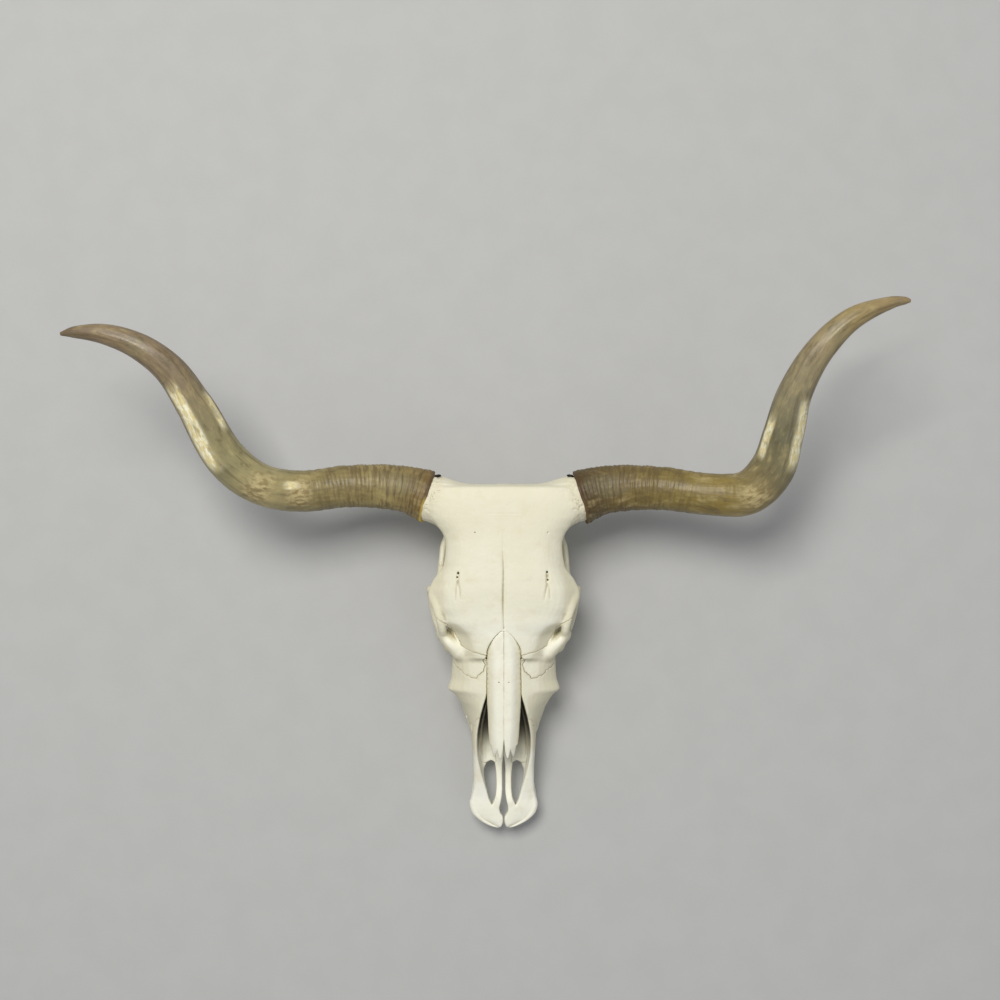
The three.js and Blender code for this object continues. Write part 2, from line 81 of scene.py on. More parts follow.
# ---------------------------------------------------------------- curves and noise
def profile(*knots):
    """Smooth curve through (station, value) knots that never overshoots them."""
    x, y = np.array(knots, float).T
    slope = np.diff(y) / np.diff(x)
    product = slope[:-1] * slope[1:]
    rising = product > 0
    inner = np.where(rising, 2 * product / np.where(rising, slope[:-1] + slope[1:], 1), 0)
    tangent = np.concatenate([slope[:1], inner, slope[-1:]])

    def curve(at):
        c = np.clip(at, x[0], x[-1])
        i = np.clip(np.searchsorted(x, c) - 1, 0, len(slope) - 1)
        span = x[i + 1] - x[i]
        rise = y[i + 1] - y[i]
        t = (c - x[i]) / span
        start = (1 - t) * (tangent[i] * span - rise)
        end = t * (tangent[i + 1] * span - rise)
        return y[i] + rise * t + t * (1 - t) * (start - end)

    return curve


def curve_through(points, count):
    """count points, evenly spaced by index, on a smooth curve through a few (centripetal Catmull-Rom)."""
    p = np.asarray(points, float)
    p = np.vstack([2 * p[0] - p[1], p, 2 * p[-1] - p[-2]])
    gap = np.maximum(np.linalg.norm(np.diff(p, axis=0), axis=1) ** 0.5, 1e-6)[:, None]
    at = np.linspace(0, len(points) - 1, count)
    i = np.minimum(at.astype(int), len(points) - 2)
    t = (at - i)[:, None]
    before, here, after = gap[i], gap[i + 1], gap[i + 2]
    a, b, c, d = p[i], p[i + 1], p[i + 2], p[i + 3]
    start = here * ((b - a) / before - (c - a) / (before + here) + (c - b) / here)
    end = here * ((c - b) / here - (d - b) / (here + after) + (d - c) / after)
    h = t * t * (3 - 2 * t)
    return b * (1 - h) + c * h + start * t * (1 - t) ** 2 - end * t * t * (1 - t)


def lattice(ix, iy, iz, seed):
    """A repeatable random number from 0 to 1 for each whole-numbered place."""
    h = ix * np.uint32(374761393) + iy * np.uint32(668265263) + iz * np.uint32(2147483647)
    h = (h + np.uint32(seed * 7919)) * np.uint32(1274126177)
    h = (h ^ (h >> np.uint32(13))) * np.uint32(1103515245)
    return ((h ^ (h >> np.uint32(16))) & np.uint32(0xFFFFFF)) / float(0xFFFFFF)


def noise(points, size, seed=0):
    """Smooth noise from -1 to 1 with lumps about size across."""
    p = np.asarray(points, float) / size + 1000.0
    whole = np.floor(p)
    t = p - whole
    t = t * t * (3 - 2 * t)
    ix, iy, iz = whole.astype(np.uint32).T
    one = np.uint32(1)

    def row(dy, dz):
        low = lattice(ix, iy + dy, iz + dz, seed)
        return low + t[:, 0] * (lattice(ix + one, iy + dy, iz + dz, seed) - low)

    zero = np.uint32(0)
    near = row(zero, zero) + t[:, 1] * (row(one, zero) - row(zero, zero))
    far = row(zero, one) + t[:, 1] * (row(one, one) - row(zero, one))
    return 2 * (near + t[:, 2] * (far - near)) - 1


def smooth_min(a, b, blend):
    """The lower of two fields, with a fillet about blend wide where they cross."""
    if not blend:
        return np.minimum(a, b)
    near = np.maximum(blend - np.abs(a - b), 0) / blend
    return np.minimum(a, b) - near * near * (blend / 4)


def smooth_max(a, b, blend):
    """The higher of two fields, with their edge rounded about blend wide."""
    return -smooth_min(-a, -b, blend)


def fade(value, full, none):
    """1 where value is at full, 0 where it is at none or beyond, and smooth between."""
    t = np.clip((value - none) / (full - none), 0, 1)
    return t * t * (3 - 2 * t)


# ---------------------------------------------------------------- clay: bone as a field of distances
def plane_distance(outline, across, down):
    """Signed distances in a plane from an outline, below zero inside it. Its ends needn't meet."""
    across, down = across + NUDGE, down + NUDGE
    corner = outline[:-1].astype(np.float32)
    edge = np.diff(outline, axis=0).astype(np.float32)
    edge = np.where(np.abs(edge) < 1e-4, np.float32(1e-4), edge)
    u = across[None, :, None] - corner[:, 0, None, None]
    v = down[None, None, :] - corner[:, 1, None, None]
    edge_u, edge_v = edge[:, 0, None, None], edge[:, 1, None, None]
    square = edge_u * edge_u + edge_v * edge_v
    t = np.clip(u * (edge_u / square) + v * (edge_v / square), 0, 1)
    d = np.sqrt(((u - t * edge_u) ** 2 + (v - t * edge_v) ** 2).min(0))
    crosses = (v < 0) != (v < edge_v)
    inside = (crosses & (u < v * (edge_u / edge_v))).sum(0) % 2 == 1
    return np.where(inside, -d, d)


class Clay:
    """Signed distances in millimetres on a grid of x, s and z: bone is below zero."""

    def __init__(self, low, high, cell):
        self.cell = cell
        self.axes = [np.arange(a, b + cell / 2, cell, dtype=np.float32) for a, b in zip(low, high)]
        self.field = np.full([len(a) for a in self.axes], FAR, np.float32)

    def window(self, low, high):
        """The cells of a box, and their x, s and z for broadcasting."""
        cuts = tuple(slice(*np.searchsorted(a, pair)) for a, pair in zip(self.axes, zip(low, high)))
        x, s, z = (axis[cut] for axis, cut in zip(self.axes, cuts))
        return cuts, x[:, None, None], s[None, :, None], z[None, None, :]

    def add(self, shape, blend=0):
        cuts, d = shape
        self.field[cuts] = smooth_min(self.field[cuts], d, blend)

    def cut(self, shape, blend=0):
        cuts, d = shape
        self.field[cuts] = smooth_max(self.field[cuts], -d, blend)

    # Each shape is a pair: the cells that it reaches, and its distances there.
    def egg(self, centre, radii):
        centre, radii = np.array(centre, float), np.array(radii, float)
        cuts, x, s, z = self.window(centre - radii - REACH, centre + radii + REACH)
        u, v, w = ((a - c) / r for a, c, r in zip((x, s, z), centre, radii))
        inside = np.sqrt(u * u + v * v + w * w)
        steep = np.sqrt((u / radii[0]) ** 2 + (v / radii[1]) ** 2 + (w / radii[2]) ** 2)
        return cuts, inside * (inside - 1) / np.maximum(steep, 1e-4)

    def tube(self, rows, up=(0, 0, 1), steps=22):
        """Rounded bar along a smooth curve. A row is x, s, z, half-width and half-height, or one radius."""
        path = curve_through([row[:3] for row in rows], steps)
        share = np.linspace(0, 1, len(rows))
        at = np.linspace(0, 1, steps)
        width = profile(*zip(share, (row[3] for row in rows)))(at)
        height = profile(*zip(share, (row[-1] for row in rows)))(at)
        return self.swept(path, width, height, up)

    def swept(self, path, width, height, up):
        """An oval section carried along a path of points, its sizes given once or at each of them."""
        width, height = (np.broadcast_to(np.asarray(size, float), len(path)) for size in (width, height))
        most = max(width.max(), height.max()) + REACH
        cuts, *_ = self.window(path.min(0) - most, path.max(0) + most)
        d = np.full([c.stop - c.start for c in cuts], FAR, np.float32)
        for i in range(len(path) - 1):
            a, b = path[i], path[i + 1]
            length = np.linalg.norm(b - a)
            if length < 1e-6:
                continue
            along = (b - a) / length
            side = np.cross(along, up)
            side /= np.linalg.norm(side)
            over = np.cross(side, along)
            near, x, s, z = self.window(np.minimum(a, b) - most, np.maximum(a, b) + most)
            here = tuple(slice(n.start - c.start, n.stop - c.start) for n, c in zip(near, cuts))
            p = (x - a[0], s - a[1], z - a[2])
            t = np.clip(sum(q * k for q, k in zip(p, along)) / length, 0, 1)
            u = sum(q * k for q, k in zip(p, side))
            v = sum(q * k for q, k in zip(p, over))
            w = sum(q * k for q, k in zip(p, along)) - t * length
            wide = width[i] + (width[i + 1] - width[i]) * t
            high = height[i] + (height[i + 1] - height[i]) * t
            ratio = np.sqrt((u / wide) ** 2 + (v / high) ** 2 + (w / np.minimum(wide, high)) ** 2) + 1e-4
            d[here] = np.minimum(d[here], np.sqrt(u * u + v * v + w * w) * (1 - 1 / ratio))
        return cuts, d

    def loft(self, s_low, s_high, outline_at, ends=5):
        """A body symmetrical about the midline. outline_at(s) gives its right half's corners, x and z,
        from the midline on top, round the side, to the midline below. The ends are rounded by ends."""
        _, _, s, _ = self.window((0, s_low - REACH, 0), (1, s_high + REACH, 1))
        stations = np.clip(s.ravel(), s_low, s_high)
        corners = np.array([np.broadcast_arrays(x, z, stations)[:2] for x, z in outline_at(stations)], float)
        most = corners[:, 0].max() + REACH
        low, high = corners[:, 1].min() - REACH, corners[:, 1].max() + REACH
        cuts, x, s, z = self.window((-FAR, s_low - REACH, low), (most, s_high + REACH, high))
        d = np.empty([c.stop - c.start for c in cuts], np.float32)
        for k in range(len(stations)):
            d[:, k] = plane_distance(rounded(corners[:, :, k]), x[:, 0, 0], z[0, 0])
        beyond = np.maximum(s_low - s, s - s_high)
        return cuts, smooth_max(d, beyond, ends)

    def plan(self, corners, across=0, down=1):
        """Signed distances from an outline of x, s corners seen from above, or of two other axes."""
        closed = np.array([*corners, corners[0]], np.float32)
        return plane_distance(closed, self.axes[across], self.axes[down])

    def alike(self, field):
        """The same grid with another field."""
        made = Clay.__new__(Clay)
        made.cell, made.axes, made.field = self.cell, self.axes, field
        return made

    def whole(self):
        """The field with its left half, mirrored from the right one."""
        middle = int(np.searchsorted(self.axes[0], -self.cell / 2))
        right = self.axes[0][middle:]
        made = self.alike(np.concatenate([self.field[:middle:-1], self.field[middle:]]))
        made.axes = [np.concatenate([-right[:0:-1], right]), *self.axes[1:]]
        return made

    def at(self, points):
        """The field's value at each point."""
        spot = [(points[:, k] - self.axes[k][0]) / self.cell for k in range(3)]
        low = [np.clip(v.astype(int), 0, n - 2) for v, n in zip(spot, self.field.shape)]
        part = [np.clip(v - i, 0, 1) for v, i in zip(spot, low)]
        total = 0
        for corner in np.ndindex(2, 2, 2):
            share = np.prod([f if c else 1 - f for f, c in zip(part, corner)], axis=0)
            total = total + share * self.field[tuple(i + c for i, c in zip(low, corner))]
        return total

    def surface(self):
        """Points and quads of the surface, in millimetres."""
        d = self.field
        solid = np.argwhere(d < 0)
        low = np.maximum(solid.min(0) - 2, 0)
        high = solid.max(0) + 3
        part = d[tuple(slice(a, b) for a, b in zip(low, high))]
        part = np.pad(part, 1, constant_values=FAR)
        grid = openvdb.FloatGrid(FAR)
        grid.copyFromArray(np.clip(part, -FAR, FAR).astype(np.float32))
        points, quads = grid.convertToQuads(isovalue=0.0)
        start = np.array([axis[i] for axis, i in zip(self.axes, low)])
        return (points - 1) * self.cell + start, quads


def rounded(corners, samples=4):
    """A smooth line through the corners of a half outline that meets the midline squarely."""
    p = np.vstack([corners[1] * (-1, 1), corners, corners[-2] * (-1, 1)])
    gap = np.maximum(np.linalg.norm(np.diff(p, axis=0), axis=1) ** 0.5, 1e-3)[:, None]
    step = np.diff(p, axis=0)
    tangent = step[:-1] / gap[:-1] - (p[2:] - p[:-2]) / (gap[:-1] + gap[1:]) + step[1:] / gap[1:]
    start = tangent[:-1] * gap[1:-1]
    end = tangent[1:] * gap[1:-1]
    t = (np.arange(samples) / samples)[None, :, None]
    a, b = corners[:-1, None], corners[1:, None]
    h = t * t * (3 - 2 * t)
    line = a * (1 - h) + b * h + start[:, None] * t * (1 - t) ** 2 - end[:, None] * t * t * (1 - t)
    line = np.vstack([line.reshape(-1, 2), corners[-1:]])
    line[:, 0] = np.maximum(line[:, 0], 0)
    return line


# ---------------------------------------------------------------- forehead and braincase
forehead_width = profile((0, 97), (10, 101), (30, 106), (47, 107), (60, 100), (73, 91), (88, 87),
                         (120, 91), (144, 107), (160, 113), (182, 110), (195, 101), (206, 94), (216, 81),
                         (227, 70), (258, 58))
forehead_top = profile((0, 174), (3, 181), (9, 184), (24, POLL_TOP), (90, 184), (150, 179), (200, 168),
                       (225, 160), (258, 151))
forehead_edge = profile((0, 164), (5, 174), (30, 176), (60, 170), (95, 166), (125, 159), (150, 150),
                        (185, 147), (205, 146), (230, 136), (258, 132))
forehead_under = profile((0, 118), (30, 106), (60, 120), (95, 136), (140, 136), (190, 134), (258, 110))


def forehead(clay):
    """The frontal plate: flat on top, with a rounded side and an overhang above each temple."""
    def outline(s):
        w, top, edge, under = forehead_width(s), forehead_top(s), forehead_edge(s), forehead_under(s)
        fall = top - edge
        return [(0, top), (w * 0.4, top - fall * 0.05), (w * 0.74, top - fall * 0.34), (w * 0.95, edge - 1),
                (w, edge - 8), (w * 0.96, np.minimum(under + 7, edge - 14)), (w * 0.78, under),
                (0, under - 8)]
    return clay.loft(0, 262, outline, ends=5)


def horn_boss(clay):
    rows = [(60, 25, 142, 19, 24), (80, 22, 142, 28.5, 31), (94, 22, 141, 34, 34), (104, 21, 140, 36, 35),
            (113, 16, 138, 32, 33), (122, 10, 137, 29, 31)]
    return clay.tube(rows)


def braincase(clay):
    width = profile((5, 78), (18, 92), (40, 92), (62, 74), (90, 60), (130, 50), (170, 42), (232, 36))
    bottom = profile((5, 60), (30, 56), (100, 58), (150, 64), (200, 66), (232, 58))

    def outline(s):
        w, under = width(s), bottom(s)
        return [(0, 146), (w * 0.8, 146), (w, 124), (w * 0.98, 96), (w * 0.62, under + 10), (w * 0.3, under),
                (0, under)]
    return clay.loft(5, 232, outline)


def nape(clay):
    """The broad upright plate behind the braincase, widest at the mastoids."""
    fullness = profile((2, 0.9), (9, 1), (36, 1), (54, 0.9))

    def outline(s):
        k = fullness(s)
        return [(0, 157), (68 * k, 157), (92 * k, 146), (101 * k, 124), (105 * k, 98), (97 * k, 78),
                (72 * k, 62), (34 * k, 48), (0, 46)]
    return clay.loft(2, 54, outline)


def model_back(clay):
    """Forehead, bosses, braincase, nape and skull base."""
    clay.add(forehead(clay))
    clay.add(horn_boss(clay), 11)
    clay.add(braincase(clay), 8)
    clay.add(nape(clay), 10)
    clay.cut(clay.egg((42, -12, 104), (34, 17, 24)), 12)
    crest = [(0, 10, 140, 9, 5), (0, 8, 122, 12, 7), (0, 8.5, 108, 7, 5), (0, 10, 96, 4, 4)]
    clay.add(clay.tube(crest, (0, 1, 0)), 9)
    clay.add(clay.tube([(8, 9, 122, 6, 4), (50, 8, 132, 5, 4), (88, 17, 128, 5, 4)]), 9)
    clay.cut(clay.egg((0, -9, 66), (62, 19, 30)), 10)
    clay.add(clay.egg((26, 17, 62), (12, 17, 23)), 5)
    clay.cut(clay.egg((49, 18, 56), (8, 24, 20)), 6)
    jugular = [(66, 34, 88, 15, 13), (71, 39, 60, 12, 7), (70, 42, 30, 10, 5), (62, 40, -4, 6, 4.5)]
    clay.add(clay.tube(jugular, up=(0, 1, 0)), 9)
    clay.add(clay.egg((46, 76, 60), (8, 20, 18)), 9)
    pterygoid = [(20, 118, 60, 3, 8), (24, 150, 48, 3, 17), (27, 190, 48, 3, 17), (31, 238, 46, 4, 10)]
    clay.add(clay.tube(pterygoid), 5)
    keel = [(0, 20, 62, 20, 12), (0, 60, 60, 22, 10), (0, 120, 62, 14, 8), (0, 170, 68, 8, 8)]
    clay.add(clay.tube(keel), 6)
    clay.add(clay.tube([(70, 70, 92, 9), (86, 62, 93, 6)]), 5)


# ---------------------------------------------------------------- orbits and cheek arches
def orbit_ring():
    """Points round the orbit's rim, which leans out and turns forward."""
    angle = np.linspace(0, 2 * np.pi, 33)
    lean, turn = ORBIT["lean"], ORBIT["turn"]
    along = ORBIT["along"] * np.cos(angle)
    up = ORBIT["up"] * np.sin(angle)
    out = -up * math.sin(lean)
    up = up * math.cos(lean)
    x = out * math.cos(turn) - along * math.sin(turn)
    s = out * math.sin(turn) + along * math.cos(turn)
    return np.stack([ORBIT["x"] + x, ORBIT["s"] + s, ORBIT["z"] + up], 1)


def model_orbits(clay):
    hollow = clay.egg((ORBIT["x"] + 8, ORBIT["s"] - 2, ORBIT["z"] - 1),
                      (62, ORBIT["along"] - 4, ORBIT["up"] - 4))
    clay.cut(hollow, 4)
    corner = [(66, 252, 118, 14, 16), (80, 240, 115, 12, 20), (93, 228, 111, 8, 20), (97, 222, 109, 5, 16)]
    cuts, d = clay.tube(corner)
    inner, space = hollow
    orbit = np.full(clay.field.shape, FAR, np.float32)
    orbit[inner] = space
    clay.add((cuts, np.maximum(d, -orbit[cuts])), 6)
    clay.add(clay.swept(orbit_ring(), ORBIT["rim"], ORBIT["rim"], (1, 0, 0)), 7)
    arch = [(50, 82, 92, 15, 12), (76, 77, 93, 13, 11), (90, 88, 92, 6, 9), (95, 112, 93, 5, 8.5),
            (98, 138, 94, 5, 9), (108, 158, 91, 6, 9), (106, 190, 84, 6, 8), (97, 222, 86, 7, 10),
            (84, 248, 88, 9, 12)]
    clay.add(clay.tube(arch, steps=40), 6)


# ---------------------------------------------------------------- face
nasal_top = profile((218, 163), (250, 155), (300, 144), (350, 132), (395, 121), (414, 114))
nasal_width = profile((218, 5), (232, 17), (252, 25), (320, 25.5), (355, 24), (395, 21.5), (408, 18.5),
                      (414, 16))
shoulder_width = profile((198, 40), (250, 27), (318, 29), (337, 34), (360, 39), (400, 44), (440, 43),
                         (480, 43), (500, 44), (520, 34), (538, 6))
shoulder_top = profile((198, 160), (250, 146), (318, 134), (337, 127), (360, 115), (400, 94), (440, 73),
                       (470, 60), (490, 53), (510, 49), (538, 43))
crest_width = profile((198, 66), (215, 84), (236, 88), (255, 79), (295, 81), (312, 86), (321, 76), (333, 68),
                      (348, 62), (362, 56), (374, 52), (400, 48.8), (440, 46.8), (472, 47), (487, 51),
                      (499, 53.6), (512, 50.5), (524, 40), (533, 25), (538, 11))
crest_top = profile((198, 84), (236, 90), (312, 92), (330, 84), (350, 64), (388, 56), (460, 47), (538, 40))
flank_bulge = profile((198, 12), (250, 10), (300, 5), (340, 3), (440, 2), (538, 1))
jaw_width = profile((198, 46), (236, 60), (260, 67), (320, 67), (350, 60), (374, 50.5), (440, 45), (499, 52),
                    (538, 9))
jaw_under = profile((198, 74), (228, 56), (242, 40), (380, PALATE_UNDER), (440, MUZZLE_UNDER),
                    (538, MUZZLE_UNDER))
alveolar_width = profile((240, 12.5), (300, 13.5), (345, 12.5), (378, 10.5))
ALVEOLAR_HEIGHT = 13
row_centre = profile((245, 55), (290, 56.5), (335, 53), (378, 43))


def face(clay):
    """Upper jaw and muzzle: a shoulder beside the nasal bones, a crest along the cheek and a jaw edge."""
    def outline(s):
        sx, sz = shoulder_width(s), shoulder_top(s)
        cx, cz = crest_width(s), crest_top(s)
        jx, jz = jaw_width(s), jaw_under(s)
        bulge = flank_bulge(s)
        return [(0, sz + 3), (sx * 0.6, sz + 1), (sx, sz - 2), ((sx + cx) / 2 + bulge, (sz + cz) / 2 + bulge),
                (cx, cz), ((cx + jx) / 2, (cz + jz) / 2), (jx, jz + 3), (jx * 0.6, jz), (0, jz + 1)]
    return clay.loft(198, 538, outline, ends=4)


passage_width = profile((244, 12), (286, 18), (320, 24.5), (337, 29.5), (356, 34.5), (385, 39.5), (415, 41),
                        (435, 39), (454, 36), (478, 27), (494, 14))
passage_floor = profile((244, PALATE_TOP), (450, PALATE_TOP), (475, PALATE_TOP + 2), (500, PALATE_TOP + 10))
PASSAGE_BACK = 244
PASSAGE_NARROWS = 7  # how far each of its walls leans in below WALL_BEND
WALL_BEND = 92
CORD_HEIGHT = 74


def passage_roof(s):
    return np.where(s < 316, nasal_top(s) - 16, POLL_TOP)


def nasal_cavity(clay):
    """Open above from the notch beside the nasal bones to the muzzle, and running back under them."""
    def outline(s):
        w = passage_width(s)
        floor = w - PASSAGE_NARROWS
        low = passage_floor(s)
        high = passage_roof(s)
        return [(0, high), (w * 0.5, high), (w, high - 2), (w, WALL_BEND),
                ((w + floor) / 2, np.maximum(62, low + 4)), (floor, low + 2), (0, low)]
    return clay.loft(PASSAGE_BACK, 502, outline)


def deep_shade_at(points):
    """Painted shade, near black, deep in the nasal passage and in the opening for the spinal cord."""
    x, s, z = np.abs(points[:, 0]), points[:, 1], points[:, 2]
    wall = passage_width(s) - PASSAGE_NARROWS * fade(z, 50, WALL_BEND)
    beside = np.maximum(x - wall, PASSAGE_BACK - s)
    outside = np.maximum(beside, np.maximum(passage_floor(s) - z, z - passage_roof(s)))
    passage = fade(outside, 0.6, 3.5) * fade(s, 356, 434)
    cord = fade(np.hypot(x, z - CORD_HEIGHT), 19.5, 24) * fade(s, 26, 3) * fade(s, 60, 80)
    return np.maximum(passage, cord)


def hole(clay, inner, outer, low, high):
    """A hole seen from above, between two smooth edges given as s, x points."""
    edges = [curve_through([(x, s) for s, x in edge], 24) for edge in (inner, outer)]
    d = clay.plan(np.vstack([edges[0], edges[1][::-1]]))
    cuts, *_ = clay.window((-FAR, 400, low), (FAR, 560, high))
    return cuts, np.broadcast_to(d[cuts[0], cuts[1]][:, :, None], [c.stop - c.start for c in cuts])


def model_face(clay):
    clay.add(face(clay), 8)
    row = np.array([(row_centre(s), s, 39) for s in range(244, 377, 6)], float)
    clay.add(clay.swept(row, alveolar_width(row[:, 1]), ALVEOLAR_HEIGHT, (0, 0, 1)), 9)
    clay.cut(nasal_cavity(clay), 3)
    clay.cut(clay.egg((0, 238, 58), (17, 36, 18)), 3)
    fissure_inner = [(431, 20), (434, 15), (445, 12.5), (475, 12), (488, 13.5), (500, 18.5)]
    fissure_outer = [(431, 20), (434, 26), (443, 31), (460, 30.5), (478, 26.5), (492, 22.5), (500, 18.5)]
    clay.cut(hole(clay, fissure_inner, fissure_outer, 20, 90), 3)
    gap = [(424, 0.3), (440, 2.6), (478, 2.2), (494, 4.5), (504, 6.8), (512, 5.8), (519, 1.6), (526, 1.2),
           (533, 3.2), (541, 8)]
    clay.cut(hole(clay, [(s, -x) for s, x in gap], gap, 20, 90), 2.5)


# ---------------------------------------------------------------- small openings and marks
FORAMINA = (  # x, s, radius of the small holes in the roof of the skull
    (-68, 130.5, 1.9), (-69.5, 136.5, 1.5), (64, 129, 1.9), (65, 140.5, 1.6), (-43, 70, 0.8), (65, 70, 0.8),
)
NASAL_FORAMEN = (7.5, 297, 0.8)
FACE_FORAMINA = ((25, 260, 2.0), NASAL_FORAMEN)
SCORES = (  # grooves in the forehead: half-width, then x, s and depth along each
    (1.6, ((-1, 70, 0.1), (-2, 96, 0.6), (-1, 124, 1.6), (-1.5, 175, 1.9), (-0.5, 215, 1.0))),
    (3.5, ((2, 90, 0.1), (4, 130, 0.35), (3, 180, 0.35), (1, 214, 0.1))),
    (2.6, ((-69, 134, 1.8), (-69.5, 144, 0.9), (-71.5, 156, 0.2), (-73, 172, -0.9))),
    (3.2, ((-69.5, 144, 0.4), (-67, 156, 0.12), (-65, 170, -0.9))),
    (2.6, ((64.5, 133, 1.8), (65, 146, 1.0), (62.5, 158, 0.18), (60, 172, -0.9))),
    (3.2, ((65, 144, 0.4), (67.5, 156, 0.14), (69, 169, -0.9))),
)


def roof_at(x, s):
    """Height of the bone's upper surface over a place on the roof."""
    x = abs(x)
    if s < 225:
        w, top, edge = forehead_width(s), forehead_top(s), forehead_edge(s)
        fall = top - edge
        return np.interp(x / w, (0, 0.4, 0.74, 0.95), (top, top - fall * 0.05, top - fall * 0.34, edge - 1))
    return nasal_top(s) - 2 - 0.012 * x * x


def drill(clay, x, s, radius):
    z = roof_at(x, s)
    hole_rows = [(x, s, z + 6, radius * 1.5), (x, s, z, radius), (x, s + 2, z - 9, radius * 0.8)]
    clay.cut(clay.tube(hole_rows, up=(1, 0, 0), steps=8), 1.2)


def mark_forehead(clay):
    """Holes, the suture down the middle of the forehead and its veins' grooves, unlike on each side."""
    for x, s, radius in FORAMINA:
        drill(clay, x, s, radius)
    for half, line in SCORES:
        path = curve_through(line, 24)
        path[:, 2] = [roof_at(x, s) + half - depth for x, s, depth in path]
        clay.cut(clay.swept(path, half, half, (1, 0, 0.01)), 1.0)


def open_sides(clay):
    """The ear canals, the canals below the orbits and the pits at the back of the palate."""
    clay.cut(clay.tube([(104, 63, 94, 4.5), (88, 62, 92, 4), (74, 66, 90, 3)], steps=8), 2)
    clay.cut(clay.tube([(62, 386, 78, 5), (52, 376, 78, 4.5), (40, 360, 80, 4)], steps=8), 3)
    clay.cut(clay.tube([(20, 272, 30, 3), (22, 268, 46, 3)], up=(1, 0, 0), steps=5), 2)
    clay.cut(clay.tube([(96, 236, 122, 2.5), (80, 236, 120, 2.5)], steps=5), 2)


# ---------------------------------------------------------------- the bones, parted at their sutures
WIDE = 220
TALL = 260


def wander(clay, across, down, seed):
    """How far a suture strays from its drawn line, over two axes of the grid."""
    u, v = np.meshgrid(clay.axes[across], clay.axes[down], indexing="ij")
    flat = np.stack([u.ravel(), v.ravel(), np.zeros(u.size)], 1)
    strays = 3.2 * noise(flat, 22, seed) + 1.9 * noise(flat, 8, seed + 1) + 1.1 * noise(flat, 3.6, seed + 2)
    return strays.reshape(u.shape)


def slab(clay, corners, low, high):
    """Everything over a plan outline, between two levels."""
    strays = wander(clay, 0, 1, 3)[:, :, None]
    z = clay.axes[2][None, None, :]
    across = clay.plan(corners)[:, :, None] + strays
    return np.maximum(across, np.maximum(low + strays - z, z - high - strays)).astype(np.float32)


def side_view(clay, corners):
    """Everything behind an outline of s, z corners seen from the side."""
    side = clay.plan(corners, across=1, down=2) + wander(clay, 1, 2, 7)
    return side[None].astype(np.float32)


def suture_regions(clay):
    """Where each bone of the right half lies, in the order in which they are parted from the rest."""
    cheek = np.maximum(
        side_view(clay, [(107, 50), (109, 84), (123, 103), (140, 107), (146, 128), (180, 128), (188, 108),
                         (222, 107), (244, 103), (266, 96), (284, 84), (280, 74), (262, 66), (236, 58),
                         (200, 50)]),
        slab(clay, [(64, 104), (64, 232), (72, 292), (140, 292), (140, 104)], -10, TALL))
    dips = 128 - 34 * fade(clay.axes[0], 96, 76)[:, None, None] * fade(clay.axes[1], 60, 76)[None, :, None]
    frontal = slab(clay, [(-9, 236), (25, 258), (60, 246), (81, 216), (104, 203), (150, 203), (150, -60),
                          (-9, -60)], dips, TALL)
    lacrimal = slab(clay, [(20, 246), (30, 276), (42, 291), (58, 290), (76, 274), (90, 264), (150, 252),
                           (150, 194), (98, 194), (74, 206), (54, 236)], 98, TALL)
    maxilla = np.minimum(slab(clay, [(-20, 234), (-20, 600), (WIDE, 600), (WIDE, 234)], -10, TALL),
                         slab(clay, [(-20, 228), (-20, 240), (WIDE, 240), (WIDE, 228)], -10, 60))
    temporal = np.maximum(
        side_view(clay, [(57.5, 74), (57.5, 106), (72, 113), (94, 112), (112, 104), (127, 104), (127, 76)]),
        slab(clay, [(62, 50), (62, 118), (84, 118), (86, 128), (150, 128), (150, 50)], -10, TALL))
    muzzle = side_view(clay, [(330, 160), (352, 118), (378, 88), (404, 62), (430, 47), (440, 20), (600, 20),
                              (600, 160)])
    rods = slab(clay, [(-20, 408), (-20, 600), (13, 600), (13, 408)], 20, 62)
    muzzle = np.minimum(muzzle, rods)
    return {
        "cheekbone": cheek,
        "frontal": frontal,
        "lacrimal": lacrimal,
        "premaxilla": muzzle,
        "maxilla": maxilla,
        "pterygoid": slab(clay, [(17, 112), (17, 227.5), (44, 227.5), (44, 112)], -10, 60),
        "temporal": temporal,
        "occipital": slab(clay, [(-20, -60), (-20, 57), (WIDE, 57), (WIDE, -60)], -10, TALL),
        "braincase": np.full(clay.field.shape, -FAR, np.float32),
    }


# ---------------------------------------------------------------- nasal bones
nasal_thickness = profile((218, 5), (250, 6), (330, 6), (395, 4.5), (414, 3.2))
nasal_fall = profile((218, 2), (236, 6), (252, 10), (300, 10.5), (360, 12), (414, 11))
NASAL_ARCH = ((0, 0), (0.38, 0.03), (0.52, 0.14), (0.75, 0.52), (1, 1))  # share of its width, of its fall
NASAL_TIP = ((-9, 200), (-9, 430), (0.2, 388), (1.2, 402), (3, 412), (5.2, 417), (7.6, 415), (9.2, 408),
             (10.2, 402.5), (11.4, 408), (13.2, 414), (15.2, 416), (17.2, 410), (19, 398), (40, 380),
             (40, 200))


def toothed(s):
    """How far the suture round the nasal bones strays from its smooth line."""
    return (0.3 * np.sin(s * 0.81) + 0.25 * np.sin(s * 1.87 + 1.3)) * fade(s, 300, 322) * fade(s, 232, 222)


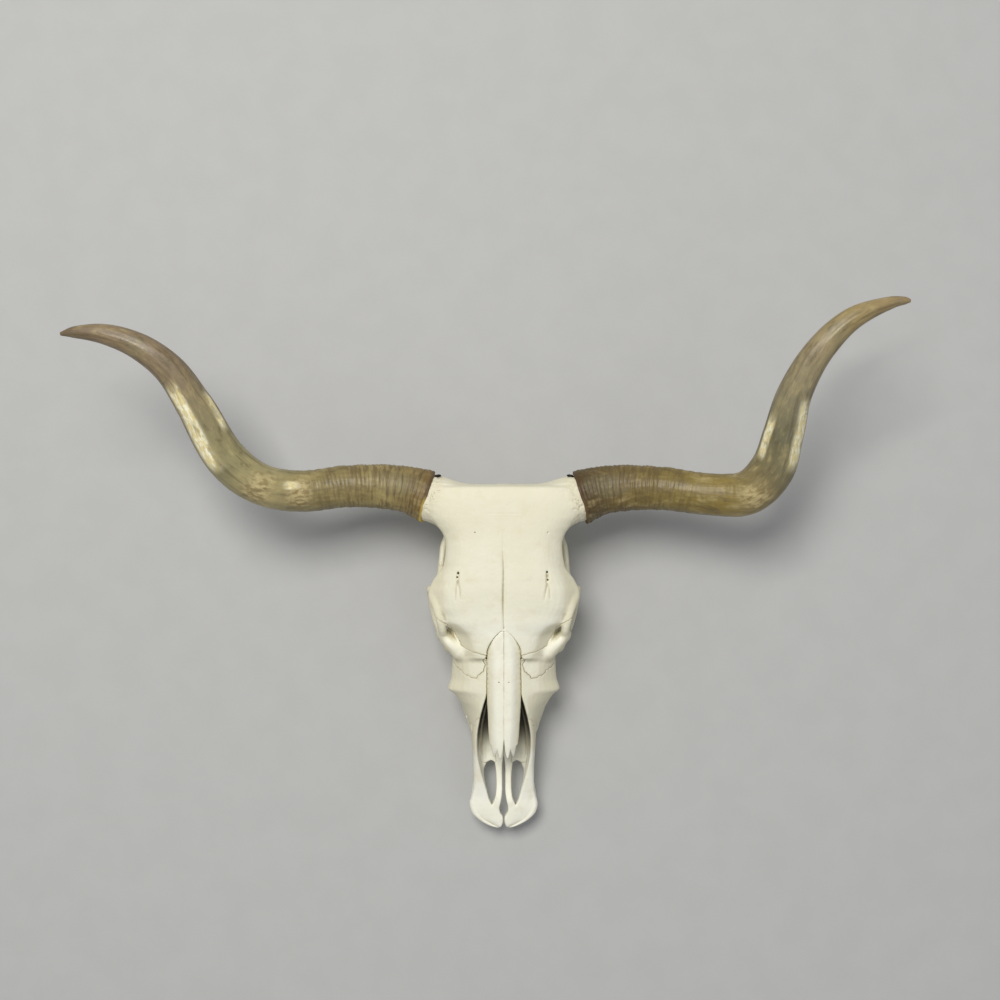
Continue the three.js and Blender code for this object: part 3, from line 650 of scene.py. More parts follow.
def nasal_bones(clay, grow=0.0, clear=0.0):
    """The two long arched strips, as one body across the midline, with room above if that is cleared."""
    def outline(s):
        w = nasal_width(s) + grow
        top = nasal_top(s) + grow
        upper = [(w * out + toothed(s) * (out == 1), top - nasal_fall(s) * down + clear)
                 for out, down in NASAL_ARCH]
        lower = [(w * out - out, z - nasal_thickness(s) - 2 * grow - clear) for (out, _), (_, z) in
                 zip(NASAL_ARCH, upper)]
        return upper + lower[::-1]
    return clay.loft(NASAL_ROOT - grow, 417 + grow, outline, ends=2)


def make_nasals(material):
    clay = Clay((-4 * FINE_CELL, NASAL_ROOT - 8, 92), (34, 424, 176), FINE_CELL)
    clay.add(nasal_bones(clay))
    drill(clay, *NASAL_FORAMEN)
    tip = clay.plan(NASAL_TIP)[:, :, None]
    clay.field = smooth_max(clay.field, tip, 1.5).astype(np.float32)
    middle = (SUTURE / 2 - clay.axes[0])[:, None, None]
    clay.field = smooth_max(clay.field, middle, 1.2).astype(np.float32)
    territory = clay.alike(np.maximum(tip, middle + 0 * clay.field))
    make_bone("nasal_right", clay, territory, material)
    make_bone("nasal_left", clay, territory, material, mirrored=True)


# ---------------------------------------------------------------- teeth
TOOTH_FRONT = 380
TOOTH_TOP = 50  # inside the jaw
TOOTH_GAP = 0.3
TOOTH_GROOVE = 0.9  # half-width of the worn crescents
TEETH = (  # name, length, half-width, how far it stays above the ground
    ("P2", 17, 7, 4), ("P3", 19, 8.6, 2.2), ("P4", 19, 9.6, 1),
    ("M1", 24, 10.5, 0), ("M2", 28, 10.5, 0), ("M3", 29, 10.2, 0),
)


def tooth(clay, name, x, s, length, wide, bottom):
    """A ribbed column with worn crescents on its grinding face: one lobe in a premolar, two in a molar."""
    molar = name[0] == "M"
    lobes = (-length / 4, length / 4) if molar else (0,)
    half = length / (4 if molar else 2)
    low = (x - 16, s - length / 2 - 4, bottom - 8)
    cuts, gx, gs, gz = clay.window(low, (x + 16, s + length / 2 + 4, 60))
    taper = 1 + 0.004 * (gz - bottom)
    u = (gx - x) / taper
    v = (gs - s) / taper
    column = np.full(np.broadcast_shapes(u.shape, v.shape), FAR)
    for middle in lobes:
        a, b = np.abs(u) / wide, np.abs(v - middle) / (half + 0.3)
        column = smooth_min(column, ((a ** 2.6 + b ** 2.6) ** (1 / 2.6) - 1) * half, 1.5)
    for rib in (-length / 2 + 2.2, 0, length / 2 - 2.2):
        column = smooth_min(column, np.hypot(u - wide + 1.9, v - rib) - 1.8, 1.5)
    cusps = 0.5 + 0.5 * np.cos(2 * np.pi * (v - lobes[0]) / (2 * half))
    worn = bottom + 1.7 * (1 - cusps)
    clay.add((cuts, smooth_max(column, worn - gz, 1.0)), 0.4)
    for middle in lobes:
        turn = np.linspace(0.25 * np.pi, 1.75 * np.pi, 12)
        for reach in (0.62, 0.28):
            arc = np.stack([x + 1 + np.cos(turn) * wide * reach * 0.8,
                            s + middle + np.sin(turn) * half * (reach + 0.12), 0 * turn + bottom - 0.2], 1)
            clay.cut(clay.swept(arc, TOOTH_GROOVE, TOOTH_GROOVE, (0, 0, 1)), 0.5)


def make_teeth(material):
    clay = Clay((24, 240, -6), (76, 388, 62), FINE_CELL)
    front = TOOTH_FRONT
    for name, length, wide, lift in TEETH:
        s = front - length / 2
        tooth(clay, name, float(row_centre(s)), s, length, wide, lift)
        front -= length + TOOTH_GAP
    above = clay.axes[2][None, None, :] - TOOTH_TOP
    clay.field = np.maximum(clay.field, above).astype(np.float32)
    for side in ("right", "left"):
        points, quads, dip = evened(*clay.surface(), side == "left", 1)
        values = {"hollow": hollow_at(points, quads, dip)}
        make_object("cheek_teeth_" + side, points, quads, material, values, nodes=["maxilla_" + side])


# ---------------------------------------------------------------- surfaces
def neighbours(quads, count):
    """Each edge of the surface once, and how many edges meet at each point."""
    pairs = np.vstack([quads[:, [0, 1]], quads[:, [1, 2]], quads[:, [2, 3]], quads[:, [3, 0]]])
    pairs = np.sort(pairs, axis=1)
    keys = np.unique(pairs[:, 0] * count + pairs[:, 1])
    pairs = np.stack([keys // count, keys % count], 1)
    return pairs, np.maximum(np.bincount(pairs.ravel(), minlength=count), 1)[:, None]


def neighbour_mean(points, pairs, degree):
    a, b = pairs.T
    total = [np.bincount(a, points[b, k], len(points)) + np.bincount(b, points[a, k], len(points))
             for k in range(3)]
    return np.stack(total, 1) / degree


def relax(points, quads, rounds):
    """Evens a surface out, and gives with it the way from each point to the middle of its surroundings."""
    pairs, degree = neighbours(quads, len(points))
    for _ in range(rounds):
        for pull in (0.5, -0.52):
            points = points + pull * (neighbour_mean(points, pairs, degree) - points)
    wide = points
    for _ in range(14):
        wide = neighbour_mean(wide, pairs, degree)
    return points, wide - points


def outward(points, quads):
    """The unit normal at each point."""
    cross = np.cross(points[quads[:, 2]] - points[quads[:, 0]], points[quads[:, 3]] - points[quads[:, 1]])
    total = [np.bincount(quads.ravel(), np.repeat(cross[:, k], 4), len(points)) for k in range(3)]
    total = np.stack(total, 1)
    return total / np.maximum(np.linalg.norm(total, axis=1), 1e-9)[:, None]


def facing_out(points, quads):
    """The quads turned so that their normals point out of the body."""
    a, b, c, d = (points[quads[:, k]] for k in range(4))
    volume = (np.einsum("ij,ij->i", a, np.cross(b, c)) + np.einsum("ij,ij->i", a, np.cross(c, d))).sum()
    return quads if volume > 0 else quads[:, ::-1]


def evened(points, quads, mirrored, rounds):
    """A surface from the clay, turned to its own side and evened out."""
    points = points * (-1 if mirrored else 1, 1, 1)
    quads = facing_out(points, quads.astype(np.int64))
    points, dip = relax(points, quads, rounds)
    return points, quads, dip


def hollow_at(points, quads, dip):
    """How deep each point lies in its surroundings, in millimetres."""
    return np.clip(np.einsum("ij,ij->i", dip, outward(points, quads)), -2, 2)


def make_object(name, points, quads, material, values=None, nodes=()):
    """A smooth mesh from points in millimetres, which rides on the skull and stands for its nodes."""
    points = np.column_stack([points[:, :2], np.maximum(points[:, 2], 0)])
    mesh = bpy.data.meshes.new(name)
    mesh.vertices.add(len(points))
    mesh.vertices.foreach_set("co", to_row(points).astype(np.float32).ravel())
    quads = quads[:, ::-1]  # to_row turns s over, and every face with it
    mesh.loops.add(quads.size)
    mesh.loops.foreach_set("vertex_index", np.ascontiguousarray(quads, np.int32).ravel())
    mesh.polygons.add(len(quads))
    mesh.polygons.foreach_set("loop_start", np.arange(0, quads.size, 4, dtype=np.int32))
    mesh.polygons.foreach_set("use_smooth", np.ones(len(quads), bool))
    for key, value in (values or {}).items():
        value = np.asarray(value, np.float32)
        kind, field = ("FLOAT", "value") if value.ndim == 1 else ("FLOAT_VECTOR", "vector")
        mesh.attributes.new(key, kind, "POINT").data.foreach_set(field, value.ravel())
    mesh.materials.append(material)
    mesh.update(calc_edges=True)
    mesh.validate()
    made = bpy.data.objects.new(name, mesh)
    bpy.context.scene.collection.objects.link(made)
    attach(made, "root")
    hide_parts(*nodes)


def past_boss(x, s):
    """How far a place lies beyond the plane on which the right horn's sheath ends."""
    turn = BOSS_PLANE["turn"]
    return (x - BOSS_PLANE["x"]) * math.cos(turn) - (s - BOSS_PLANE["s"]) * math.sin(turn)


def weathered(points, quads, seed):
    """Bone's own unevenness, laid over the modelled form, and how rough it is by the horns."""
    normal = outward(points, quads)
    x = np.abs(points[:, 0])
    rough = fade(-past_boss(x, points[:, 1]), 3, 28) * fade(x, 92, 72) * fade(points[:, 1], 80, 100)
    high = 0.4 * noise(points, 34, seed) + 0.18 * noise(points, 13, seed + 1)
    high += 0.08 * noise(points, 5, seed + 2)
    pits = np.minimum(noise(points, 4.5, seed + 3) + 0.2, 0) * 2.8 + 1.0 * noise(points, 8, seed + 4)
    return points + normal * (high + rough * pits)[:, None], rough


def olive_shade_and_tint(points, quads):
    """How olive the bone is painted: most, as painted shade, on steep slopes and the flanks of the face; a
    little on the forehead.
    """
    x, s, up = np.abs(points[:, 0]), points[:, 1], outward(points, quads)[:, 2]
    # painted shade: surfaces that tilt away from straight up turn olive, as shade would fall on them
    sloping = fade(up, 0.55, 0.95) * fade(s, 380, 430) * fade(s, 62, 34)
    sloping = sloping * np.maximum(fade(x, 24, 12), fade(s, 200, 225))
    # painted shade on the flanks of the face
    cheek = 0.55 * fade(x, 24, 11) * fade(s, 255, 215) * fade(s, 390, 425)
    socket = 0.5 * fade(x, 98, 84) * fade(s, 150, 120) * fade(s, 235, 260)
    roof = np.interp(s, (60, 120, 190, 240), (0.75, 0.58, 0.5, 0))
    return np.clip(np.maximum(sloping, roof) + cheek + socket, 0, 1)


def make_bone(name, clay, territory, material, mirrored=False):
    """One bone: its part of the clay, and how near each point is to a suture."""
    points, quads = clay.surface()
    seam = fade(np.abs(territory.at(points)), 0.2, 2.2)
    points, quads, dip = evened(points, quads, mirrored, 2)
    points, rough = weathered(points, quads, len(name))
    hollow = hollow_at(points, quads, dip)
    # painted shade deep in the nasal passage and in the spinal cord's opening
    deep_shade = deep_shade_at(points) if clay.cell == CELL else 0 * hollow
    values = {"hollow": hollow, "rough": rough, "seam": seam, "deep_shade": deep_shade}
    # painted shade on slopes and the face's flanks, with an olive tint on the forehead
    values["olive_shade_and_tint"] = olive_shade_and_tint(points + dip, quads)
    make_object(name, points, quads, material, values, nodes=[name])


def make_bones(material):
    clay = Clay((-4 * CELL, -16, -8), (134, 548, 196), CELL)
    model_back(clay)
    model_face(clay)
    model_orbits(clay)
    clay.cut(nasal_bones(clay, SUTURE))
    clay.cut(nasal_bones(clay, SUTURE, 16))
    _, x, s, z = clay.window((-FAR,) * 3, (600,) * 3)
    clay.field = smooth_max(clay.field, past_boss(x, s) - BOSS_INSIDE, 2).astype(np.float32)
    clay.field = np.maximum(clay.field, LOWEST - z).astype(np.float32)
    open_sides(clay)
    clay.cut(clay.egg((0, -2, CORD_HEIGHT), (18, 40, 18)), 3)
    for x, s, radius in FACE_FORAMINA:
        drill(clay, x, s, radius)
    middle = (SUTURE / 2 - clay.axes[0])[:, None, None]
    taken = np.full(clay.field.shape, -FAR, np.float32)
    for name, region in suture_regions(clay).items():
        own = np.maximum(taken, region)
        if name in ("frontal", "occipital", "braincase"):
            part = clay.alike(smooth_max(clay.field, own, 0.5)).whole()
            if name == "frontal":
                mark_forehead(part)
            make_bone(name, part, clay.alike(own).whole(), material)
        else:
            own = np.maximum(own, middle)
            part = clay.alike(smooth_max(clay.field, own, 0.5))
            make_bone(name + "_right", part, clay.alike(own), material)
            make_bone(name + "_left", part, clay.alike(own), material, mirrored=True)
        taken = np.maximum(taken, SUTURE - region)


# ---------------------------------------------------------------- horns
# Centre line and radius of each sheath from its base to its tip: x, s, z, radius.
HORN_LEFT = ((-95, 23, 136, 37.5), (-152, 5.3, 137, 34), (-230, 1, 145, 31), (-306, 9, 163, 30),
             (-359.5, -1.5, 186, 29.5), (-404.5, -37.3, 210, 30), (-445.3, -114.3, 243, 26.5),
             (-476, -163, 262, 23), (-517, -195, 274, 18.8), (-566, -212, 280, 13.8), (-610, -215, 278, 8),
             (-628, -213, 276, 2.6))
HORN_RIGHT = ((95, 25, 136, 39), (152, 7, 137, 35.6), (230, 4, 145, 32), (312, 14, 161, 30.5),
              (361, 11, 177, 32), (393, -22, 196, 32.3), (406, -74, 219, 29), (418, -132, 244, 25.2),
              (448, -190, 266, 20.9), (491, -233, 278, 15.9), (548, -257, 279, 8.8), (568, -260, 277, 5.4),
              (575, -260, 276, 2.6))
HORN_RINGS = 600
HORN_SIDES = 136
HORN_TURN = np.arange(HORN_SIDES) / HORN_SIDES * 2 * np.pi
AXIS_POINTS = 1200  # points on the centre line, along which the rings are placed
BASE_POINTS = 300  # those of them among which the sheath starts
RING_CROWDING = 1.15  # rings lie closer together towards the base
# The mouth's rings, from its floor out to its lip: how deep in the sheath, and how far in from its surface.
MOUTH = ((10.8, 30.0), (7.2, 5.5), (0.0, 3.6), (-0.8, 1.6))
MOUTH_LEAST = 4  # smallest radius of those rings
CORNER = {"middle": 3.5, "half": 0.55}  # the lower corner of the mouth, as an angle
# Where cream shows through: start and end along the horn, and the middle and half-width of its angle.
# An angle of 0 is the side towards the poll, a quarter turn is up, and a half turn is the outer side.
CREAM = {
    "left": ((312, 468, 2.15, 0.42), (355, 430, 0.5, 0.24), (196, 236, 1.3, 0.2)),
    "right": ((312, 436, 2.4, 0.38), (314, 400, 0.55, 0.25)),
}
CREAM_SHARE = {"left": 1.0, "right": 0.9}
SCALY = {"left": ((172, 232, 1.7, 0.7), (232, 294, 1.8, 0.8)), "right": ((236, 296, 1.9, 0.6),)}
FRINGE = {"left": 1.0, "right": 0.1}  # how yellow and how far drawn out the lower corner of its mouth is
KERATIN = {  # colours from the base of each horn to its tip
    "left": ((0, (119, 95, 48)), (0.1, (149, 133, 84)), (0.19, (135, 120, 75)), (0.28, (132, 119, 74)),
             (0.38, (163, 151, 106)), (0.5, (150, 142, 101)), (0.6, (138, 128, 94)),
             (0.72, (130, 114, 89)), (0.88, (134, 115, 88)), (1, (104, 87, 68))),
    "right": ((0, (66, 48, 14)), (0.1, (114, 96, 50)), (0.22, (124, 107, 52)), (0.34, (136, 117, 58)),
              (0.44, (126, 113, 74)), (0.55, (106, 102, 76)), (0.64, (130, 122, 94)),
              (0.76, (150, 135, 101)), (0.86, (153, 134, 88)), (1, (148, 127, 93))),
}


def angle_past(turn, middle):
    return (turn - middle + np.pi) % (2 * np.pi) - np.pi


def patches(along, turn, rows, soft=25):
    """1 inside any of some patches on a horn, fading out over soft millimetres and a third of their angle."""
    total = np.zeros_like(along)
    for start, end, middle, half in rows:
        lengthwise = fade(along, start + soft, start) * fade(along, end - soft, end)
        off = np.abs(angle_past(turn, middle))
        total = np.maximum(total, lengthwise * fade(off, half * 0.6, half * 1.4))
    return total


def sheath_form(along, turn, radius, side):
    """How far the sheath's surface stands off a plain round horn: rings, ribs, swellings and scales."""
    round_x, round_y = np.cos(turn), np.sin(turn)
    flat = along.shape

    def grain(stretch, wrap, size, seed):
        p = np.stack([along.ravel() * stretch, (round_x * wrap).ravel(), (round_y * wrap).ravel()], 1)
        return noise(p, size, seed).reshape(flat)

    base = fade(along, 120, 330)
    rings = grain(1, 5, 7, 11) * 0.7 + grain(1, 8, 3.2, 12) * 0.3
    rings = rings + 0.3 * np.sin(along * 1.08 + 2.5 * grain(1, 12, 26, 18)) * fade(along, 90, 230)
    ribs = grain(0.06, 34, 2.4, 13) * 0.16 + grain(0.05, 34, 6, 14) * 0.3
    swell = grain(1, 30, 48, 15) * 0.9
    lip = fade(along, 6, 40)
    flakes = lip * (grain(0.5, 36, 5, 16) * 0.8 + 1.2)
    bumps = np.maximum(grain(1, 30, 8, 17), -0.2) * 1.1 + np.maximum(grain(1, 30, 4, 19), -0.1) * 0.5
    scales = patches(along, turn, SCALY[side]) * bumps
    return (base * rings + (1 - 0.5 * base) * ribs + swell + flakes + scales) * np.minimum(1, radius / 16)


class HornAxis:
    """A horn's centre line, with its half-width and two directions across it at each of its points."""

    def __init__(self, rows):
        share = np.linspace(0, 1, len(rows))
        self.path = curve_through(rows[:, :3], AXIS_POINTS)
        self.width = profile(*zip(share, rows[:, 3]))(np.linspace(0, 1, AXIS_POINTS))
        self.arc = np.concatenate([[0], np.cumsum(np.linalg.norm(np.diff(self.path, axis=0), axis=1))])
        forward = np.gradient(self.path, self.arc, axis=0)
        forward /= np.linalg.norm(forward, axis=1)[:, None]
        self.across = np.cross(forward, (0, 0, 1))
        self.across /= np.linalg.norm(self.across, axis=1)[:, None]
        self.over = np.cross(self.across, forward)

    def ring(self, place, radius):
        """Points round the line: how far along it each side of a ring is, and how far out."""
        found = []
        for k in range(3):
            c, u, v = (np.interp(place, self.arc, a[:, k]) for a in (self.path, self.across, self.over))
            found.append(c + radius * (u * np.cos(HORN_TURN) + v * np.sin(HORN_TURN)))
        return np.stack(found, -1)


def sheath_start(axis, side, corner):
    """How far along the line the sheath starts on each of its sides: on its boss, with a ragged edge."""
    edge = axis.ring(axis.arc[:, None], axis.width[:, None])[:BASE_POINTS]
    beyond = past_boss(edge[..., 0], edge[..., 1])
    start = np.array([np.interp(0, column, axis.arc[:BASE_POINTS]) for column in beyond.T])
    around = np.stack([np.cos(HORN_TURN) * 30, np.sin(HORN_TURN) * 30, 0 * HORN_TURN], 1)
    return start - (2 + 2 * FRINGE[side]) * corner - 1.6 * noise(around, 9, 21)


def closed_tube(grid):
    """Points and quads of a tube of rings, whose ends are closed by quads that meet in the middle."""
    rings, sides = grid.shape[:2]
    ring = np.arange(rings * sides).reshape(rings, sides)
    after = np.roll(ring, -1, axis=1)
    quads = [np.stack([ring[:-1], after[:-1], after[1:], ring[1:]], -1).reshape(-1, 4)]
    for end, order in ((0, -1), (1, 1)):
        edge = ring[-end]
        middle = np.full(sides // 2, rings * sides + end)
        fan = np.stack([edge[::2], edge[1::2], np.roll(edge, -2)[::2], middle], 1)
        quads.append(fan[:, ::order])
    middles = [grid[0].mean(0), grid[-1].mean(0)]
    return np.vstack([grid.reshape(-1, 3), middles]), np.vstack(quads)


def for_all_points(values):
    """Values for every point of a sheath, from those of its outer rings."""
    values = np.concatenate([values[:1]] * len(MOUTH) + [values])
    flat = values.reshape(-1, *values.shape[2:])
    return np.concatenate([flat, flat[:1], flat[-1:]])


def make_horn(side, rows, material):
    """A horn sheath: an open-mouthed shell at its base, solid beyond."""
    flip = -1 if side == "left" else 1
    axis = HornAxis(np.array(rows) * (flip, 1, 1, 1))
    corner = np.exp(-(angle_past(HORN_TURN, CORNER["middle"]) / CORNER["half"]) ** 2)
    start = sheath_start(axis, side, corner)
    along = np.linspace(0, 1, HORN_RINGS)[:, None] ** RING_CROWDING * (axis.arc[-1] - start)
    angle = np.broadcast_to(HORN_TURN, along.shape)
    radius = np.interp(start + along, axis.arc, axis.width)
    flare = (1.2 + 0.3 * FRINGE[side]) * corner * fade(along, 0, 45)
    radius = radius + sheath_form(along, angle, radius, side) + flare
    radius = radius * (1 + 0.025 * np.cos(2 * (angle - 0.6)))
    mouth = [axis.ring(start + deep, np.maximum(radius[0] - wall, MOUTH_LEAST)) for deep, wall in MOUTH]
    points, quads = closed_tube(np.concatenate([mouth, axis.ring(start + along, radius)]))

    low_lip = 0.75 * fade(-np.cos(angle), 0.45, -0.1)
    values = {
        "grain": np.stack([np.cos(angle) * radius, np.sin(angle) * radius, along], -1),
        "along": along,
        "reach": along / along.max(),
        "cream": patches(along, angle, CREAM[side]),
        "scaly": patches(along, angle, SCALY[side]),
        "fringe": FRINGE[side] * (corner * fade(along, 4, 22) + low_lip * fade(along, 1.5, 5)),
    }
    values = {name: for_all_points(value) for name, value in values.items()}
    points = points * (flip, 1, 1)
    quads = facing_out(points, quads)
    make_object("horn_" + side, points, quads, material, values, nodes=["horn_" + side])


# ---------------------------------------------------------------- screws
SCREW = {"x": 99.5, "s": -12.5, "z": 149, "lean": -0.2, "shank": 2.2, "length": 14, "head": 5.5,
         "thread": 0.5, "pitch": 1.6, "slot": 0.55, "slot_reach": 2.9, "slot_floor": 2.2,
         "dome": 6.1, "dome_back": 2.2, "dome_flat": 0.82}


def make_screw(side, material):
    """A black round-headed screw with a cross in its head, driven into the back edge of the horn boss."""
    cell = 0.28
    place = np.array([SCREW["x"], SCREW["s"], SCREW["z"]])
    clay = Clay(place - 17, place + 17, cell)
    x, s, z = (axis.reshape([-1 if k == i else 1 for k in range(3)]) - place[i]
               for i, axis in enumerate(clay.axes))
    lean = SCREW["lean"]
    out = -s * math.cos(lean) - x * math.sin(lean)  # along the screw, out of the bone
    side_way = x * math.cos(lean) - s * math.sin(lean)
    round_ = np.hypot(side_way, z)
    dome = np.hypot(round_ * SCREW["dome_flat"], out + SCREW["dome_back"]) - SCREW["dome"]
    head = np.maximum(np.maximum(round_ - SCREW["head"], -out), dome * 0.9)
    turned = np.abs((out / SCREW["pitch"] + np.arctan2(z, side_way) / (2 * np.pi)) % 1 - 0.5)
    shank = round_ - SCREW["shank"] - SCREW["thread"] * (0.5 - turned)
    shank = np.maximum(shank, np.maximum(-out - SCREW["length"] + 1, out - 1))
    wide, tall = np.abs(side_way), np.abs(z)
    cross = np.minimum(np.maximum(wide - SCREW["slot"], tall - SCREW["slot_reach"]),
                       np.maximum(tall - SCREW["slot"], wide - SCREW["slot_reach"]))
    cross = np.maximum(cross, SCREW["slot_floor"] - out)
    body = np.maximum(smooth_min(head, shank, 0.5), -cross)
    clay.field = np.broadcast_to(body, clay.field.shape).astype(np.float32)
    points, quads, _ = evened(*clay.surface(), side == "left", 1)
    make_object("screw_" + side, points, quads, material, nodes=["screw_" + side])


# ---------------------------------------------------------------- materials
def srgb(*channels):
    """A colour given as 0 to 255 on a screen, as Blender's linear numbers."""
    shares = [c / 255 for c in channels]
    return tuple(c / 12.92 if c < 0.04 else ((c + 0.055) / 1.055) ** 2.4 for c in shares) + (1.0,)


class Paint:
    """A material built of nodes round one Principled surface. Sizes are in millimetres, colours 0 to 255."""

    def __init__(self, name, roughness, specular):
        self.material = bpy.data.materials.new(name)
        self.material.use_nodes = True
        self.tree = self.material.node_tree
        self.shader = self.tree.nodes["Principled BSDF"]
        self.shader.inputs["Roughness"].default_value = roughness
        self.shader.inputs["Specular IOR Level"].default_value = specular
        self.place = self.tree.nodes.new("ShaderNodeTexCoord").outputs["Object"]
        self.unit = MM  # length of a millimetre in self.place's units
        self.colour = None

    def node(self, kind, *values):
        """A new node, whose first sockets take some values or the outputs of other nodes."""
        made = self.tree.nodes.new("ShaderNode" + kind)
        for socket, value in zip(made.inputs, values):
            self.feed(socket, value)
        return made

    def feed(self, socket, value):
        if isinstance(value, bpy.types.NodeSocket):
            self.tree.links.new(value, socket)
        else:
            socket.default_value = srgb(*value) if isinstance(value, tuple) else value

    def value(self, name):
        made = self.node("Attribute")
        made.attribute_name = name
        return made.outputs["Fac"]

    def use_grain(self, name, stretch):
        """Textures are laid out along a stored direction instead, drawn out lengthwise by stretch."""
        made = self.node("Attribute")
        made.attribute_name = name
        scaled = self.node("Mapping", made.outputs["Vector"])
        scaled.inputs["Scale"].default_value = (1, 1, 1 / stretch)
        self.place = scaled.outputs["Vector"]
        self.unit = 1.0

    def texture(self, kind, place, size):
        made = self.node(kind, place)
        made.inputs["Scale"].default_value = 1 / (size * self.unit)
        return made

    def clouds(self, size, detail=3.0, rough=0.55):
        made = self.texture("TexNoise", self.place, size)
        made.inputs["Detail"].default_value = detail
        made.inputs["Roughness"].default_value = rough
        return made.outputs["Fac"]

    def cells(self, size):
        """Distance from the nearest of scattered points, bent out of round."""
        bend = self.texture("TexNoise", self.place, size / 1.6)
        bent = self.node("VectorMath", bend.outputs["Color"])
        bent.operation = "MULTIPLY_ADD"
        bent.inputs[1].default_value = (1.5 * size * self.unit,) * 3
        self.feed(bent.inputs[2], self.place)
        return self.texture("TexVoronoi", bent.outputs["Vector"], size).outputs["Distance"]

    def ramp(self, value, low, high, start=0.0, end=1.0):
        """value mapped smoothly from low..high to start..end."""
        made = self.node("MapRange", value, low, high, start, end)
        made.interpolation_type = "SMOOTHSTEP"
        return made.outputs["Result"]

    def times(self, a, b):
        made = self.node("Math", a, b)
        made.operation = "MULTIPLY"
        return made.outputs["Value"]

    def plus(self, a, b):
        made = self.node("Math", a, b)
        made.operation = "ADD"
        return made.outputs["Value"]

    def along(self, value, stops):
        """A colour that changes with value through (place, colour) stops."""
        made = self.node("ValToRGB", value)
        ramp = made.color_ramp
        while len(ramp.elements) < len(stops):
            ramp.elements.new(1.0)
        for element, (place, colour) in zip(ramp.elements, stops):
            element.position = place
            element.color = srgb(*colour)
        return made.outputs["Color"]

    def mix(self, share, a, b):
        made = self.tree.nodes.new("ShaderNodeMix")
        made.data_type = "RGBA"
        for place, value in ((0, share), (6, a), (7, b)):
            self.feed(made.inputs[place], value)
        return made.outputs[2]

    def coat(self, share, colour):
        """Lays a colour over the material's own by a share from 0 to 1."""
        self.colour = self.mix(share, self.colour, colour)

    def finish(self, roughness, height, depth):
        """Roughness and a bump whose full height is depth millimetres."""
        self.feed(self.shader.inputs["Base Color"], self.colour)
        self.feed(self.shader.inputs["Roughness"], roughness)
        bump = self.node("Bump")
        bump.inputs["Distance"].default_value = depth * MM
        self.feed(bump.inputs["Height"], height)
        self.feed(self.shader.inputs["Normal"], bump.outputs["Normal"])
        return self.material


def bone_paint():
    paint = Paint("dry_bone", 0.7, 0.35)
    paint.colour = paint.mix(paint.ramp(paint.clouds(80), 0.35, 0.65), (248, 246, 231), (242, 240, 221))
    # painted shade on steep slopes and the face's flanks, and an olive tint on the forehead
    paint.coat(paint.ramp(paint.value("olive_shade_and_tint"), 0.0, 1.0, 0, 0.8), (216, 210, 180))
    paint.coat(paint.ramp(paint.clouds(24, 5), 0.5, 0.78, 0, 0.5), (218, 209, 178))
    paint.coat(paint.ramp(paint.clouds(46, 2), 0.55, 0.8, 0, 0.35), (238, 224, 206))
    paint.coat(paint.ramp(paint.clouds(1.6, 2), 0.6, 0.8, 0, 0.25), (202, 190, 156))
    # painted shade: olive darkening in hollows and creases, by how deep each point lies
    paint.coat(paint.ramp(paint.value("hollow"), 0.05, 0.8, 0, 0.8), (160, 148, 110))
    # painted shade: near black deep in the nasal passage and the opening for the spinal cord
    paint.coat(paint.ramp(paint.value("deep_shade"), 0.0, 1.0, 0, 0.96), (42, 36, 24))
    worn = paint.ramp(paint.value("rough"), 0.1, 0.8)
    sparse = paint.times(worn, paint.ramp(paint.clouds(10, 2), 0.42, 0.6))
    pores = paint.times(paint.ramp(paint.cells(2.8), 0.36, 0.08), sparse)
    paint.coat(paint.times(worn, 0.2), (212, 198, 160))
    paint.coat(paint.times(pores, 0.3), (140, 122, 88))
    seam = paint.times(paint.value("seam"), paint.ramp(paint.clouds(14), 0.35, 0.65, 0.0, 0.18))
    paint.coat(seam, (150, 136, 102))
    height = paint.plus(paint.clouds(1.1, 4), paint.times(paint.clouds(5, 3), 1.6))
    height = paint.plus(height, paint.times(pores, -3.0))
    return paint.finish(paint.ramp(paint.clouds(9), 0.3, 0.7, 0.58, 0.8), height, 0.25)


def tooth_paint():
    paint = Paint("tooth_enamel", 0.35, 0.5)
    paint.colour = paint.mix(paint.ramp(paint.clouds(16, 3), 0.45, 0.75), (234, 227, 205), (214, 200, 162))
    paint.coat(paint.ramp(paint.value("hollow"), 0.1, 0.7, 0, 0.7), (140, 118, 82))
    return paint.finish(paint.ramp(paint.clouds(6), 0.3, 0.7, 0.3, 0.5), paint.clouds(1.4, 3), 0.12)


